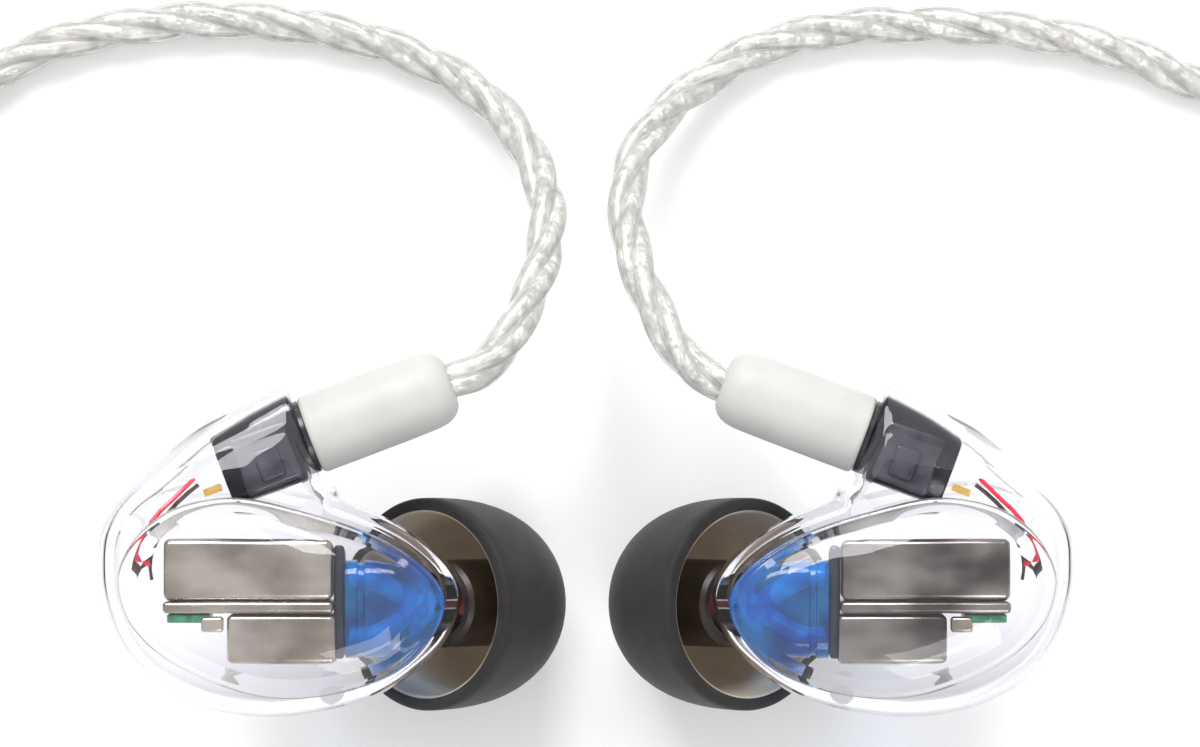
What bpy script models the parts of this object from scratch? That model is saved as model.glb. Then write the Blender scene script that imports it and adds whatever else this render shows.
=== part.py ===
"""A pair of clear in ear monitors on one detachable twisted cable.

World frame, metres: the pair lies on the surface z = 0, faceplates up, each earpiece on the
soft end of its ear tip. The plane x = 0 lies halfway between the earpieces, the cable runs
away in the +Y direction and comes down to the surface, and its spare length is put away
as a tied hank on the -X side.

Each earpiece is drawn once, on the +X side, in its own millimetre coordinates:
    u  outward from the plane between the two earpieces
    d  depth, from the crown of the faceplate down towards the ear tip
    v  distance from the lower edge of the shell, in the +Y direction
The left earpiece mirrors it.
"""

import math

import bmesh
import bpy
from mathutils import Matrix, Vector

MM = 0.001

# ---------------------------------------------------------------- driving dimensions, mm
FIT_GAP = 0.3            # clearance left between neighbouring pieces
EAR_SPREAD = 0.2   # outward, so that a tip coming off its nozzle clears the other one
CROWN_HEIGHT = 17.05     # of the faceplate's crown above the surface
LOWER_EDGE = -10.6       # world y of v = 0

WALL = 0.9               # clear shell wall
SEAM_DEPTH = 2.2         # back edge of the faceplate
BODY_DEPTH = 10.0        # back of the body shell
SHELL_CENTRE = (17.7, 8.0)   # (u, v) from which the shell outlines are measured

PLUG_ANGLE = math.radians(20.6)      # of the cable connector, from -X towards +Y
PLUG_DEPTH = 5.0
PLUG_MOUTH = (16.4, 16.4)            # (u, v) where the connector meets the shell
BOSS_HALF_DEPTH = 2.75
SOCKET_LENGTH = 4.6
SOCKET_HALF = 1.95
PLUG_SHELL_LENGTH = 9.2
PLUG_SHELL_RADIUS = 2.35
CONTACT_RADIUS = 1.3
NOSE_RADIUS = 0.85
NOSE_LENGTH = 3.4

TIP_CENTRE = (9.4, 8.0, 6.5)         # (u, d, v) middle of the ear tip's open rim
TIP_TURN = math.radians(38.3)        # of the nozzle, from straight down towards the middle
TIP_RADIUS = 6.3
TIP_LENGTH = 9.3
TIP_WALL = 0.85
TIP_FULLNESS = 2.75                  # exponent of the dome's superellipse
CORE_START = 3.5
CORE_RADIUS = 2.72
CORE_BORE = 2.0
NOZZLE_RADIUS = 1.7
NOZZLE_BORE = 1.15
NOZZLE_END = 7.6
BARB_RADIUS = 1.85

LEAD_DIAMETER = 2.2                  # three twisted strands
MAIN_DIAMETER = 2.4                  # four twisted strands

HANK_CENTRE = (-52.3, 14.0)          # (x, y)
HANK_LENGTH = 46.0
HANK_WIDTH = 26.6
HANK_BOTTOM = 0.8
HANK_TOP = 10.6
TIE_LENGTH = 6.0
TIE_THICKNESS = 0.5

TOP_LEAD_HEIGHT = 12.9               # centre of the leads that lie over the hank and its tie
SPLIT_X = -46.9
LEAD_PITCH = 2.7                     # between the two leads where they run side by side
LEAD_START_Y = -4.6
SLIDER_Y = 0.0                       # middle of the chin slider
SLIDER_LENGTH = 4.8
SPLIT_Y = (19.0, 28.0)               # the split's end with two leads, and its end with one
JACK_X = -57.5
JACK_Y = 27.0
JACK_HEIGHT = 14.6
JACK_BARREL_RADIUS = 2.9
JACK_RADIUS = 1.75

# Shell outlines seen from above, (u, v), anticlockwise from the outer end.
PLATE_OUTLINE = [
    (27.2, 7.4), (27.0, 9.2), (25.7, 11.1), (23.6, 12.4), (20.2, 12.9), (16.0, 12.0),
    (12.7, 10.9), (10.3, 9.6), (8.7, 8.2), (8.1, 6.8), (8.6, 5.1), (10.3, 3.1),
    (13.0, 1.8), (16.5, 1.15), (20.0, 1.5), (24.0, 3.2), (26.3, 5.2),
]
BODY_OUTLINE = [
    (28.6, 8.8), (28.2, 11.0), (26.8, 12.9), (24.0, 14.1), (20.5, 14.2), (17.0, 13.6),
    (14.0, 12.7), (10.5, 11.1), (8.2, 9.3), (7.2, 7.6), (7.35, 6.1), (8.2, 4.3),
    (9.7, 2.8), (12.0, 1.3), (15.0, 0.4), (18.7, 0.0), (22.5, 0.6), (25.5, 2.1),
    (27.3, 4.0), (28.35, 6.6),
]
BOSS_OUTLINE = [
    (28.6, 8.8), (28.4, 10.9), (27.4, 12.7), (25.6, 14.5), (22.7, 16.9), (20.2, 18.2),
    (17.9, 19.4), (17.3, 19.6), (16.8, 18.9), (15.9, 16.6), (15.2, 14.6), (14.6, 13.9),
    (14.1, 12.8), (10.5, 11.1), (8.2, 9.3), (7.2, 7.6), (7.35, 6.1), (8.2, 4.3),
    (9.7, 2.8), (12.0, 1.3), (15.0, 0.4), (18.7, 0.0), (22.5, 0.6), (25.5, 2.1),
    (27.3, 4.0), (28.35, 6.6),
]
# (depth, size) of the faceplate's crown and of the body's draft and rounded back.
PLATE_CROWN = [(0.1, 0.35), (0.3, 0.6), (0.65, 0.8), (1.15, 0.93), (SEAM_DEPTH, 1.0)]
BODY_DRAFT = [
    (2.5, 0.965), (3.1, 0.975), (3.9, 0.99), (5.0, 1.0), (6.2, 0.985), (7.2, 0.955),
    (8.1, 0.92), (8.9, 0.84), (9.6, 0.7), (BODY_DEPTH, 0.48),
]
SHELL_SIDES = 44

# Routes of the cords, (x, y, z). Each lead runs from its connector to the hank.
LEFT_ROUTE = [
    (-7.55, 9.2, 12.05), (-6.25, 9.85, 11.95), (-4.95, 11.1, 11.5), (-4.0, 12.8, 10.7),
    (-3.1, 14.8, 9.5), (-2.45, 17.3, 7.7), (-2.4, 19.7, 6.1), (-3.2, 22.2, 4.4),
    (-4.5, 24.4, 3.1), (-6.5, 26.4, 2.0), (-9.2, 28.1, 1.3), (-12.8, 29.5, 1.15),
    (-17.6, 30.5, 1.15), (-23.4, 30.8, 1.15), (-29.2, 30.1, 1.15), (-33.6, 28.8, 1.15),
    (-36.9, 27.0, 1.2),
]
RIGHT_ROUTE = [
    (7.55, 9.2, 12.05), (6.35, 9.85, 11.95), (5.15, 11.3, 11.5), (4.1, 13.2, 10.6),
    (3.1, 15.5, 9.3), (2.5, 17.7, 7.8), (2.35, 20.0, 6.3), (2.75, 22.2, 4.8),
    (3.8, 24.1, 3.6), (5.4, 25.9, 2.5), (7.7, 27.6, 1.7), (10.6, 29.2, 1.25),
    (15.2, 30.3, 1.15), (20.6, 30.5, 1.15), (26.5, 30.1, 1.15), (32.0, 28.9, 1.15),
    (36.8, 26.9, 1.15), (40.3, 26.2, 1.15), (43.6, 27.3, 1.15), (45.4, 30.2, 1.15),
    (45.2, 33.5, 1.15), (42.9, 36.2, 1.15), (38.9, 37.2, 1.15), (31.0, 37.0, 1.15),
    (20.0, 36.3, 1.15), (8.0, 36.9, 1.15), (-6.0, 36.3, 1.15), (-20.0, 36.9, 1.15),
    (-33.0, 36.3, 1.15), (-43.2, 36.5, 1.3),
]
MAIN_START_ROUTE = [
    (SPLIT_X, SPLIT_Y[1] + FIT_GAP, TOP_LEAD_HEIGHT), (-47.3, 30.1, 12.85),
    (-48.5, 31.7, 12.6), (-50.5, 32.6, 12.2),
]
MAIN_END_ROUTE = [
    (-53.9, 34.7, 12.2), (-56.0, 33.4, 12.9), (-57.1, 31.2, 13.8),
    (JACK_X, JACK_Y + 0.7, JACK_HEIGHT),
]


# ---------------------------------------------------------------- materials and objects
def material(name, colour, roughness, metallic=0.0, alpha=1.0, transmission=0.0):
    """A Principled material, made once for each name."""
    found = bpy.data.materials.get(name)
    if found:
        return found
    made = bpy.data.materials.new(name)
    made.use_nodes = True
    made.diffuse_color = (*colour, alpha)
    shader = made.node_tree.nodes["Principled BSDF"]
    shader.inputs["Base Color"].default_value = (*colour, 1.0)
    shader.inputs["Roughness"].default_value = roughness
    shader.inputs["Metallic"].default_value = metallic
    shader.inputs["Transmission Weight"].default_value = transmission
    shader.inputs["Alpha"].default_value = alpha
    return made


def clear_plastic():
    return material("clear_shell", (0.95, 0.96, 0.97), 0.05, transmission=1.0)


def blue_plastic():
    return material("blue_manifold", (0.02, 0.18, 0.75), 0.1, transmission=0.6)


def tip_silicone():
    return material("tip_silicone", (0.05, 0.048, 0.045), 0.6)


def core_plastic():
    return material("tip_core", (0.03, 0.022, 0.018), 0.4)


def driver_steel():
    return material("driver_steel", (0.62, 0.58, 0.53), 0.28, metallic=1.0)


def black_plastic():
    return material("black_plastic", (0.03, 0.03, 0.035), 0.3)


def gold_plate():
    return material("gold_plate", (0.83, 0.6, 0.25), 0.25, metallic=1.0)


def spring_steel():
    return material("spring_steel", (0.7, 0.7, 0.72), 0.25, metallic=1.0)


def white_plastic():
    return material("white_plastic", (0.84, 0.84, 0.82), 0.45)


def cord_plastic():
    return material("cord_clear", (0.86, 0.86, 0.84), 0.2, transmission=0.4)


def board_green():
    return material("circuit_board", (0.03, 0.22, 0.12), 0.4)


def red_enamel():
    return material("wire_red", (0.7, 0.03, 0.06), 0.35)


def dark_enamel():
    return material("wire_dark", (0.05, 0.03, 0.03), 0.35)


def damper_felt():
    return material("damper", (0.55, 0.1, 0.08), 0.8)


def strap_fabric():
    return material("strap_fabric", (0.05, 0.05, 0.055), 0.9)


def add_object(name, mesh, look):
    """Puts a mesh into the scene as a node, with its material and smooth round faces."""
    mesh.materials.clear()
    mesh.materials.append(look)
    made = bpy.data.objects.new(name, mesh)
    bpy.context.scene.collection.objects.link(made)
    mesh.shade_smooth()
    mesh.set_sharp_from_angle(angle=math.radians(32))
    return made


def add_cutter(name, mesh):
    """A hidden helper for a Boolean."""
    made = bpy.data.objects.new(name, mesh)
    bpy.context.scene.collection.objects.link(made)
    made.hide_render = True
    made.display_type = "WIRE"
    return made


def boolean(target, tool, operation):
    step = target.modifiers.new(f"{operation.lower()} {tool.name}", "BOOLEAN")
    step.object = tool
    step.operation = operation
    step.solver = "EXACT"


def bevel(target, width, segments=1):
    step = target.modifiers.new("edge rounding", "BEVEL")
    step.width = width * MM
    step.segments = segments
    step.limit_method = "ANGLE"
    step.angle_limit = math.radians(40)


# ---------------------------------------------------------------- mesh builders
def place(u, d, v):
    """An earpiece point, in millimetres, as a world position of the right earpiece."""
    return Vector((u + EAR_SPREAD, v + LOWER_EDGE, CROWN_HEIGHT - d)) * MM


def mesh_from_rings(name, rings, closed=False):
    """Skins rings of equal length in order. The ends are capped unless the rings close up."""
    bm = bmesh.new()
    rows = [[bm.verts.new(point) for point in ring] for ring in rings]
    pairs = list(zip(rows, rows[1:]))
    if closed:
        pairs.append((rows[-1], rows[0]))
    for low, high in pairs:
        count = len(low)
        for i in range(count):
            j = (i + 1) % count
            bm.faces.new((low[i], low[j], high[j], high[i]))
    if not closed:
        bm.faces.new(rows[0][::-1])
        bm.faces.new(rows[-1])
    bmesh.ops.recalc_face_normals(bm, faces=bm.faces)
    mesh = bpy.data.meshes.new(name)
    bm.to_mesh(mesh)
    bm.free()
    return mesh


def frame_along(direction):
    """A matrix whose Z axis is the direction."""
    return Vector(direction).normalized().to_track_quat("Z", "Y").to_matrix().to_4x4()


def turned(name, profile, origin, direction, sides=24, closed=False):
    """A solid of revolution from (distance along the axis, radius) pairs in millimetres."""
    matrix = Matrix.Translation(origin) @ frame_along(direction)
    rings = []
    for along, radius in profile:
        rings.append([
            matrix @ (Vector((
                radius * math.cos(2 * math.pi * i / sides),
                radius * math.sin(2 * math.pi * i / sides),
                along,
            )) * MM)
            for i in range(sides)
        ])
    return mesh_from_rings(name, rings, closed)


def block(name, size, origin, direction=(0, 0, 1), side=None):
    """A box of (x, y, z) millimetres, centred at origin, with its z side along direction."""
    bm = bmesh.new()
    bmesh.ops.create_cube(bm, size=1.0)
    if side is None:
        turn = frame_along(direction)
    else:
        up = Vector(direction).normalized()
        across = Vector(side).normalized()
        turn = Matrix((across, up.cross(across), up)).transposed().to_4x4()
    matrix = Matrix.Translation(origin) @ turn @ Matrix.Diagonal((*[s * MM for s in size], 1.0))
    bmesh.ops.transform(bm, matrix=matrix, verts=bm.verts)
    mesh = bpy.data.meshes.new(name)
    bm.to_mesh(mesh)
    bm.free()
    return mesh


def ear_box(name, u, d, v):
    """A box between two (low, high) ranges on each earpiece coordinate."""
    centre = place((u[0] + u[1]) / 2, (d[0] + d[1]) / 2, (v[0] + v[1]) / 2)
    return block(name, (u[1] - u[0], v[1] - v[0], d[1] - d[0]), centre)


def catmull_rom(a, b, c, d, t):
    return 0.5 * (2 * b + (c - a) * t + (2 * a - 5 * b + 4 * c - d) * t ** 2
                  + (3 * b - a - 3 * c + d) * t ** 3)


def smooth_closed(points, steps=12):
    points = [Vector(point) for point in points]
    count = len(points)
    return [
        catmull_rom(points[i - 1], points[i], points[(i + 1) % count], points[(i + 2) % count],
                    step / steps)
        for i in range(count) for step in range(steps)
    ]


def smooth_open(points, spacing):
    """Evenly spaced points on a smooth curve through the route's own points."""
    points = [Vector(point) for point in points]
    points = [2 * points[0] - points[1], *points, 2 * points[-1] - points[-2]]
    steps = 24
    fine = [
        catmull_rom(*points[i - 1:i + 3], step / steps)
        for i in range(1, len(points) - 2) for step in range(steps)
    ]
    fine.append(points[-2])
    lengths = [0.0]
    for a, b in zip(fine, fine[1:]):
        lengths.append(lengths[-1] + (b - a).length)
    count = max(2, round(lengths[-1] / spacing))
    found, at = [], 0
    for i in range(count + 1):
        want = lengths[-1] * i / count
        while at < len(lengths) - 2 and lengths[at + 1] < want:
            at += 1
        share = (want - lengths[at]) / (lengths[at + 1] - lengths[at])
        found.append(fine[at].lerp(fine[at + 1], share))
    return found


def tube(name, points, diameter, look, scale=MM):
    """A cord or wire as a curve with round section and filled ends."""
    curve = bpy.data.curves.new(name, "CURVE")
    curve.dimensions = "3D"
    curve.bevel_depth = diameter / 2 * MM
    curve.bevel_resolution = 2
    curve.use_fill_caps = True
    spline = curve.splines.new("POLY")
    spline.points.add(len(points) - 1)
    for point, target in zip(points, spline.points):
        target.co = (*(Vector(point) * scale), 1.0)
    curve.materials.append(look)
    made = bpy.data.objects.new(name, curve)
    bpy.context.scene.collection.objects.link(made)
    return made


# ---------------------------------------------------------------- shells
def radii(outline, sides):
    """The outline's distance from the shell's centre at evenly spaced angles."""
    centre = Vector(SHELL_CENTRE)
    polar = []
    for point in smooth_closed([Vector(p) for p in outline]):
        arm = point - centre
        polar.append((math.atan2(arm.y, arm.x) % (2 * math.pi), arm.length))
    polar.sort()
    polar = [(polar[-1][0] - 2 * math.pi, polar[-1][1]), *polar,
             (polar[0][0] + 2 * math.pi, polar[0][1])]
    found, at = [], 0
    for i in range(sides):
        angle = 2 * math.pi * i / sides
        while polar[at + 1][0] < angle:
            at += 1
        (low, near), (high, far) = polar[at], polar[at + 1]
        found.append(near + (far - near) * (angle - low) / (high - low))
    return found


def shell_ring(distances, depth):
    count = len(distances)
    return [
        place(SHELL_CENTRE[0] + r * math.cos(2 * math.pi * i / count), depth,
              SHELL_CENTRE[1] + r * math.sin(2 * math.pi * i / count))
        for i, r in enumerate(distances)
    ]


def body_distances(depth, size, inset=0.0):
    """Radii of one slice of the body: the plain body, swelling into the socket boss."""
    plain = radii(BODY_OUTLINE, SHELL_SIDES)
    boss = radii(BOSS_OUTLINE, SHELL_SIDES)
    reach = (depth - PLUG_DEPTH) / BOSS_HALF_DEPTH
    swell = math.sqrt(max(0.0, 1 - reach * reach))
    return [p * size + max(0.0, b - p * size) * swell - inset for p, b in zip(plain, boss)]


def build_faceplate(name):
    edge = radii(PLATE_OUTLINE, SHELL_SIDES)
    outer = [shell_ring([r * size for r in edge], depth) for depth, size in PLATE_CROWN]
    inner = [
        shell_ring([r * size - WALL for r in edge], min(depth + WALL, SEAM_DEPTH))
        for depth, size in PLATE_CROWN[1:]
    ]
    return add_object(name, mesh_from_rings(name, [*outer, *reversed(inner)]), clear_plastic())


def nozzle_direction():
    return Vector((-math.sin(TIP_TURN), 0.0, -math.cos(TIP_TURN)))


def build_body_shell(name):
    outer = [shell_ring(body_distances(d, s), d) for d, s in BODY_DRAFT]
    inner = [
        shell_ring(body_distances(d, s, WALL), d) for d, s in BODY_DRAFT
        if d < BODY_DEPTH - 1.3
    ]
    last_depth, last_size = BODY_DEPTH - WALL, 0.66
    inner.append(shell_ring(body_distances(last_depth, last_size, WALL), last_depth))
    mesh = mesh_from_rings(name, [*reversed(outer), *inner])
    shell = add_object(name, mesh, clear_plastic())

    mouth, away, upright = connector_axes()
    tip = place(*TIP_CENTRE)
    nozzle = add_cutter(
        f"{name}_nozzle",
        turned(f"{name}_nozzle", [
            (-0.5, NOZZLE_RADIUS + 0.25), (1.6, NOZZLE_RADIUS + 0.25), (2.0, NOZZLE_RADIUS),
            (NOZZLE_END - 1.6, NOZZLE_RADIUS), (NOZZLE_END - 1.2, BARB_RADIUS),
            (NOZZLE_END, NOZZLE_RADIUS - 0.2),
        ], tip, nozzle_direction()),
    )
    bore = add_cutter(
        f"{name}_bore",
        turned(f"{name}_bore", [(-5.0, NOZZLE_BORE), (NOZZLE_END + 1, NOZZLE_BORE)], tip,
               nozzle_direction(), sides=20),
    )
    trim = add_cutter(
        f"{name}_trim",
        block(f"{name}_trim", (6.6, 9.0, 5.0), mouth + away * 2.5 * MM, away, upright),
    )
    pocket_half = SOCKET_HALF + FIT_GAP
    pocket = add_cutter(
        f"{name}_pocket",
        block(f"{name}_pocket", (2 * pocket_half, 2 * pocket_half, 7.0),
              mouth - away * 2.5 * MM, away, upright),
    )
    boolean(shell, nozzle, "UNION")
    boolean(shell, bore, "DIFFERENCE")
    boolean(shell, trim, "DIFFERENCE")
    boolean(shell, pocket, "DIFFERENCE")
    return shell


# ---------------------------------------------------------------- ear tip
def dome_radius(along):
    share = max(0.0, 1 - (along / TIP_LENGTH) ** TIP_FULLNESS)
    return TIP_RADIUS * share ** (1 / TIP_FULLNESS)


def build_tip_dome(name):
    """The soft mushroom: its outside, and the same outside brought in by the wall."""
    stops = [0.0, 1.6, 3.2, 4.8, 6.2, 7.3, 8.1, 8.7, 9.05]
    outer = [(s, dome_radius(s)) for s in stops]
    neck = CORE_RADIUS + FIT_GAP
    inner = [(s, dome_radius(s * TIP_LENGTH / (TIP_LENGTH - TIP_WALL)) - TIP_WALL)
             for s in stops[:-2]]
    inner = [(s, r) for s, r in inner if r > neck + 0.2]
    outer.append((9.15, neck))
    profile = [*outer, (inner[-1][0] + 0.25, neck), *reversed(inner)]
    mesh = turned(name, profile, place(*TIP_CENTRE), nozzle_direction(), sides=32, closed=True)
    return add_object(name, mesh, tip_silicone())


def build_tip_core(name):
    end = TIP_LENGTH - 0.2
    profile = [
        (CORE_START, CORE_RADIUS), (end - 0.3, CORE_RADIUS), (end, CORE_RADIUS - 0.3),
        (end, CORE_BORE), (CORE_START, CORE_BORE),
    ]
    mesh = turned(name, profile, place(*TIP_CENTRE), nozzle_direction(), closed=True)
    return add_object(name, mesh, core_plastic())


# ---------------------------------------------------------------- drivers and acoustics
def build_drivers():
    """The two balanced armature drivers, the rubber boot on their spouts and the board."""
    cup = add_object("right_woofer_cup",
                     ear_box("woofer_cup", (15.5, 24.9), (2.7, 8.0), (7.25, 10.65)), driver_steel())
    bevel(cup, 0.35)
    lid = add_object("right_woofer_lid",
                     ear_box("woofer_lid", (15.5, 24.9), (2.7, 8.0), (6.55, 6.95)), driver_steel())
    bevel(lid, 0.12)
    tweeter = add_object("right_tweeter_can",
                         ear_box("tweeter_can", (15.5, 21.7), (2.9, 6.8), (3.3, 6.2)), driver_steel())
    bevel(tweeter, 0.3)
    boot = add_object("right_driver_boot",
                      ear_box("driver_boot", (14.3, 15.2), (3.1, 7.4), (3.6, 10.3)), black_plastic())
    bevel(boot, 0.3)
    board = add_object("right_crossover_board",
                       ear_box("crossover_board", (22.1, 23.5), (3.2, 6.6), (5.4, 6.2)), board_green())
    return [cup, lid, tweeter, boot, board]


def rounded_ring(centre, across, upright, half_sizes, sides, squareness):
    """A superellipse ring around centre, with its half sizes along across and upright."""
    ring = []
    power = 2 / squareness
    for i in range(sides):
        angle = 2 * math.pi * i / sides
        c, s = math.cos(angle), math.sin(angle)
        along = half_sizes[0] * math.copysign(abs(c) ** power, c)
        up = half_sizes[1] * math.copysign(abs(s) ** power, s)
        ring.append(centre + (Vector(across) * along + Vector(upright) * up) * MM)
    return ring


def build_manifold(name):
    """The sound path: a blue block that narrows into a spout inside the nozzle."""
    along = nozzle_direction()
    tip = place(*TIP_CENTRE)
    square = Vector((0, 0, -1))
    slanted = Vector((math.cos(TIP_TURN), 0, -math.sin(TIP_TURN)))
    # (centre, width direction, half width, half height, squareness)
    sections = [
        (place(14.0, 5.2, 6.4), square, 2.0, 2.85, 5.0),
        (place(12.6, 5.2, 6.4), square, 2.0, 2.85, 5.0),
        (place(11.4, 5.5, 6.45), square.lerp(slanted, 0.4), 1.9, 2.6, 3.5),
        (place(10.6, 6.1, 6.5), slanted, 1.6, 2.0, 2.5),
        (tip - along * 0.9 * MM, slanted, 0.85, 0.85, 2.0),
        (tip + along * 3.0 * MM, slanted, 0.85, 0.85, 2.0),
    ]
    rings = [rounded_ring(c, w, (0, 1, 0), (hw, hv), 20, q) for c, w, hw, hv, q in sections]
    return add_object(name, mesh_from_rings(name, rings), blue_plastic())


def build_nozzle_fillings():
    tip = place(*TIP_CENTRE)
    damper = turned("damper", [(3.4, 0.8), (5.6, 0.8)], tip, nozzle_direction(), sides=16)
    screen = turned("screen", [(6.2, 0.8), (6.6, 0.8)], tip, nozzle_direction(), sides=16)
    return [
        add_object("right_acoustic_damper", damper, damper_felt()),
        add_object("right_nozzle_screen", screen, spring_steel()),
    ]


# ---------------------------------------------------------------- connector
def connector_axes():
    """The connector's mouth, its direction away from the shell, and the direction across it."""
    mouth = place(PLUG_MOUTH[0], PLUG_DEPTH, PLUG_MOUTH[1])
    away = Vector((-math.cos(PLUG_ANGLE), math.sin(PLUG_ANGLE), 0))
    return mouth, away, Vector((math.sin(PLUG_ANGLE), math.cos(PLUG_ANGLE), 0))


def build_socket():
    """The socket in the shell: insulating block, contact sleeve and solder terminal."""
    mouth, away, upright = connector_axes()
    start = 0.7
    size = (2 * SOCKET_HALF, 2 * SOCKET_HALF, SOCKET_LENGTH)
    holder = add_object(
        "right_socket_block",
        block("socket_block", size, mouth - away * (start + SOCKET_LENGTH / 2) * MM, away, upright),
        black_plastic(),
    )
    hole = add_cutter("socket_hole", turned(
        "socket_hole", [(-4.4, CONTACT_RADIUS + 0.25), (1.0, CONTACT_RADIUS + 0.25)], mouth, away))
    boolean(holder, hole, "DIFFERENCE")
    sleeve = add_object("right_socket_contact", turned(
        "socket_contact", [
            (-4.0, CONTACT_RADIUS), (-0.5, CONTACT_RADIUS), (-0.5, NOSE_RADIUS + 0.2),
            (-4.0, NOSE_RADIUS + 0.2),
        ], mouth, away, closed=True), gold_plate())
    terminal = add_object("right_socket_terminal", block(
        "socket_terminal", (0.45, 1.0, 1.1),
        mouth - away * (start + SOCKET_LENGTH + 0.85) * MM - upright * 1.0 * MM, away, upright),
        gold_plate())
    return [holder, sleeve, terminal]


def build_plug():
    """The cable's connector: moulded shell, metal nose, centre pin and snap ring."""
    mouth, away, _ = connector_axes()
    length, radius = PLUG_SHELL_LENGTH, PLUG_SHELL_RADIUS
    cover = add_object("right_plug_shell", turned("plug_shell", [
        (FIT_GAP, radius - 0.15), (0.55, radius), (length * 0.55, radius - 0.03),
        (length - 1.4, radius - 0.15), (length - 0.7, radius - 0.4), (length - 0.2, radius - 0.9),
        (length, radius - 1.3),
    ], mouth, away), white_plastic())
    nose = add_object("right_plug_nose", turned("plug_nose", [
        (-NOSE_LENGTH, NOSE_RADIUS - 0.1), (-NOSE_LENGTH + 0.5, NOSE_RADIUS),
        (-1.75, NOSE_RADIUS), (-1.75, NOSE_RADIUS - 0.25), (-1.15, NOSE_RADIUS - 0.25),
        (-1.15, NOSE_RADIUS), (-FIT_GAP, NOSE_RADIUS), (0.0, NOSE_RADIUS),
        (0.0, 0.45), (-NOSE_LENGTH, 0.45),
    ], mouth, away, closed=True), spring_steel())
    pin = add_object("right_plug_pin", turned(
        "plug_pin", [(-NOSE_LENGTH - 0.3, 0.12), (-NOSE_LENGTH, 0.2), (0.0, 0.2)],
        mouth, away, sides=12), gold_plate())
    ring = add_object("right_snap_ring", turned("snap_ring", [
        (-1.6, NOSE_RADIUS + 0.06), (-1.3, NOSE_RADIUS + 0.06), (-1.3, NOSE_RADIUS - 0.13),
        (-1.6, NOSE_RADIUS - 0.13),
    ], mouth, away, closed=True), spring_steel())
    return [cover, nose, pin, ring]


def build_wires():
    """The two enamelled wires from the socket terminal round to the drivers' end."""
    red = [(22.9, 5.0, 14.0), (23.9, 4.9, 13.0), (25.3, 4.6, 11.6), (25.8, 4.6, 10.2), (25.7, 4.7, 8.9)]
    dark = [(22.7, 5.7, 13.6), (23.9, 6.0, 12.6), (25.2, 6.2, 11.0), (25.8, 6.1, 9.4), (25.6, 6.0, 8.0)]
    made = []
    for name, route, look in (("wire_red", red, red_enamel()), ("wire_dark", dark, dark_enamel())):
        points = [place(*point) / MM for point in smooth_open(route, 0.9)]
        made.append(tube(f"right_{name}", points, 0.26, look))
    return made


def build_earpiece():
    """Every piece of the right earpiece and of its connector."""
    return [
        build_faceplate("right_faceplate"),
        build_body_shell("right_body_shell"),
        build_tip_dome("right_tip_dome"),
        build_tip_core("right_tip_core"),
        build_manifold("right_acoustic_manifold"),
        *build_drivers(),
        *build_nozzle_fillings(),
        *build_socket(),
        *build_plug(),
        *build_wires(),
    ]


def mirror_earpiece(pieces):
    """The left earpiece: each piece again, sharing its data, with X turned round."""
    for piece in pieces:
        copy = piece.copy()
        copy.name = piece.name.replace("right_", "left_", 1)
        copy.scale.x = -1
        bpy.context.scene.collection.objects.link(copy)
        for step in copy.modifiers:
            if step.type == "BOOLEAN":
                mirrored = step.object.copy()
                mirrored.name = f"{step.object.name}_mirrored"
                mirrored.scale.x = -1
                bpy.context.scene.collection.objects.link(mirrored)
                step.object = mirrored


# ---------------------------------------------------------------- cable
def build_leads():
    for name, route in (("left_lead", LEFT_ROUTE), ("right_lead", RIGHT_ROUTE)):
        tube(name, smooth_open(route, 2.4 * LEAD_DIAMETER), LEAD_DIAMETER, cord_plastic())
    for name, side in (("left_lead_end", -1), ("right_lead_end", 1)):
        x = SPLIT_X + side * LEAD_PITCH / 2
        route = [(x, LEAD_START_Y, TOP_LEAD_HEIGHT), (x, SPLIT_Y[0] - FIT_GAP, TOP_LEAD_HEIGHT)]
        tube(name, smooth_open(route, 2.4 * LEAD_DIAMETER), LEAD_DIAMETER, cord_plastic())
    for name, route in (("main_lead_start", MAIN_START_ROUTE), ("main_lead_end", MAIN_END_ROUTE)):
        tube(name, smooth_open(route, 2.2), MAIN_DIAMETER, cord_plastic())


def racetrack(centre, length, width, height, sides=12):
    """A ring of points round an outline with straight sides along Y and round ends."""
    radius, straight = width / 2, (length - width) / 2
    points = []
    for end in (1, -1):
        for i in range(sides + 1):
            angle = math.pi * i / sides
            points.append(Vector((
                centre[0] + end * radius * math.cos(angle),
                centre[1] + end * (straight + radius * math.sin(angle)),
                height,
            )) * MM)
    return points


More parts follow.
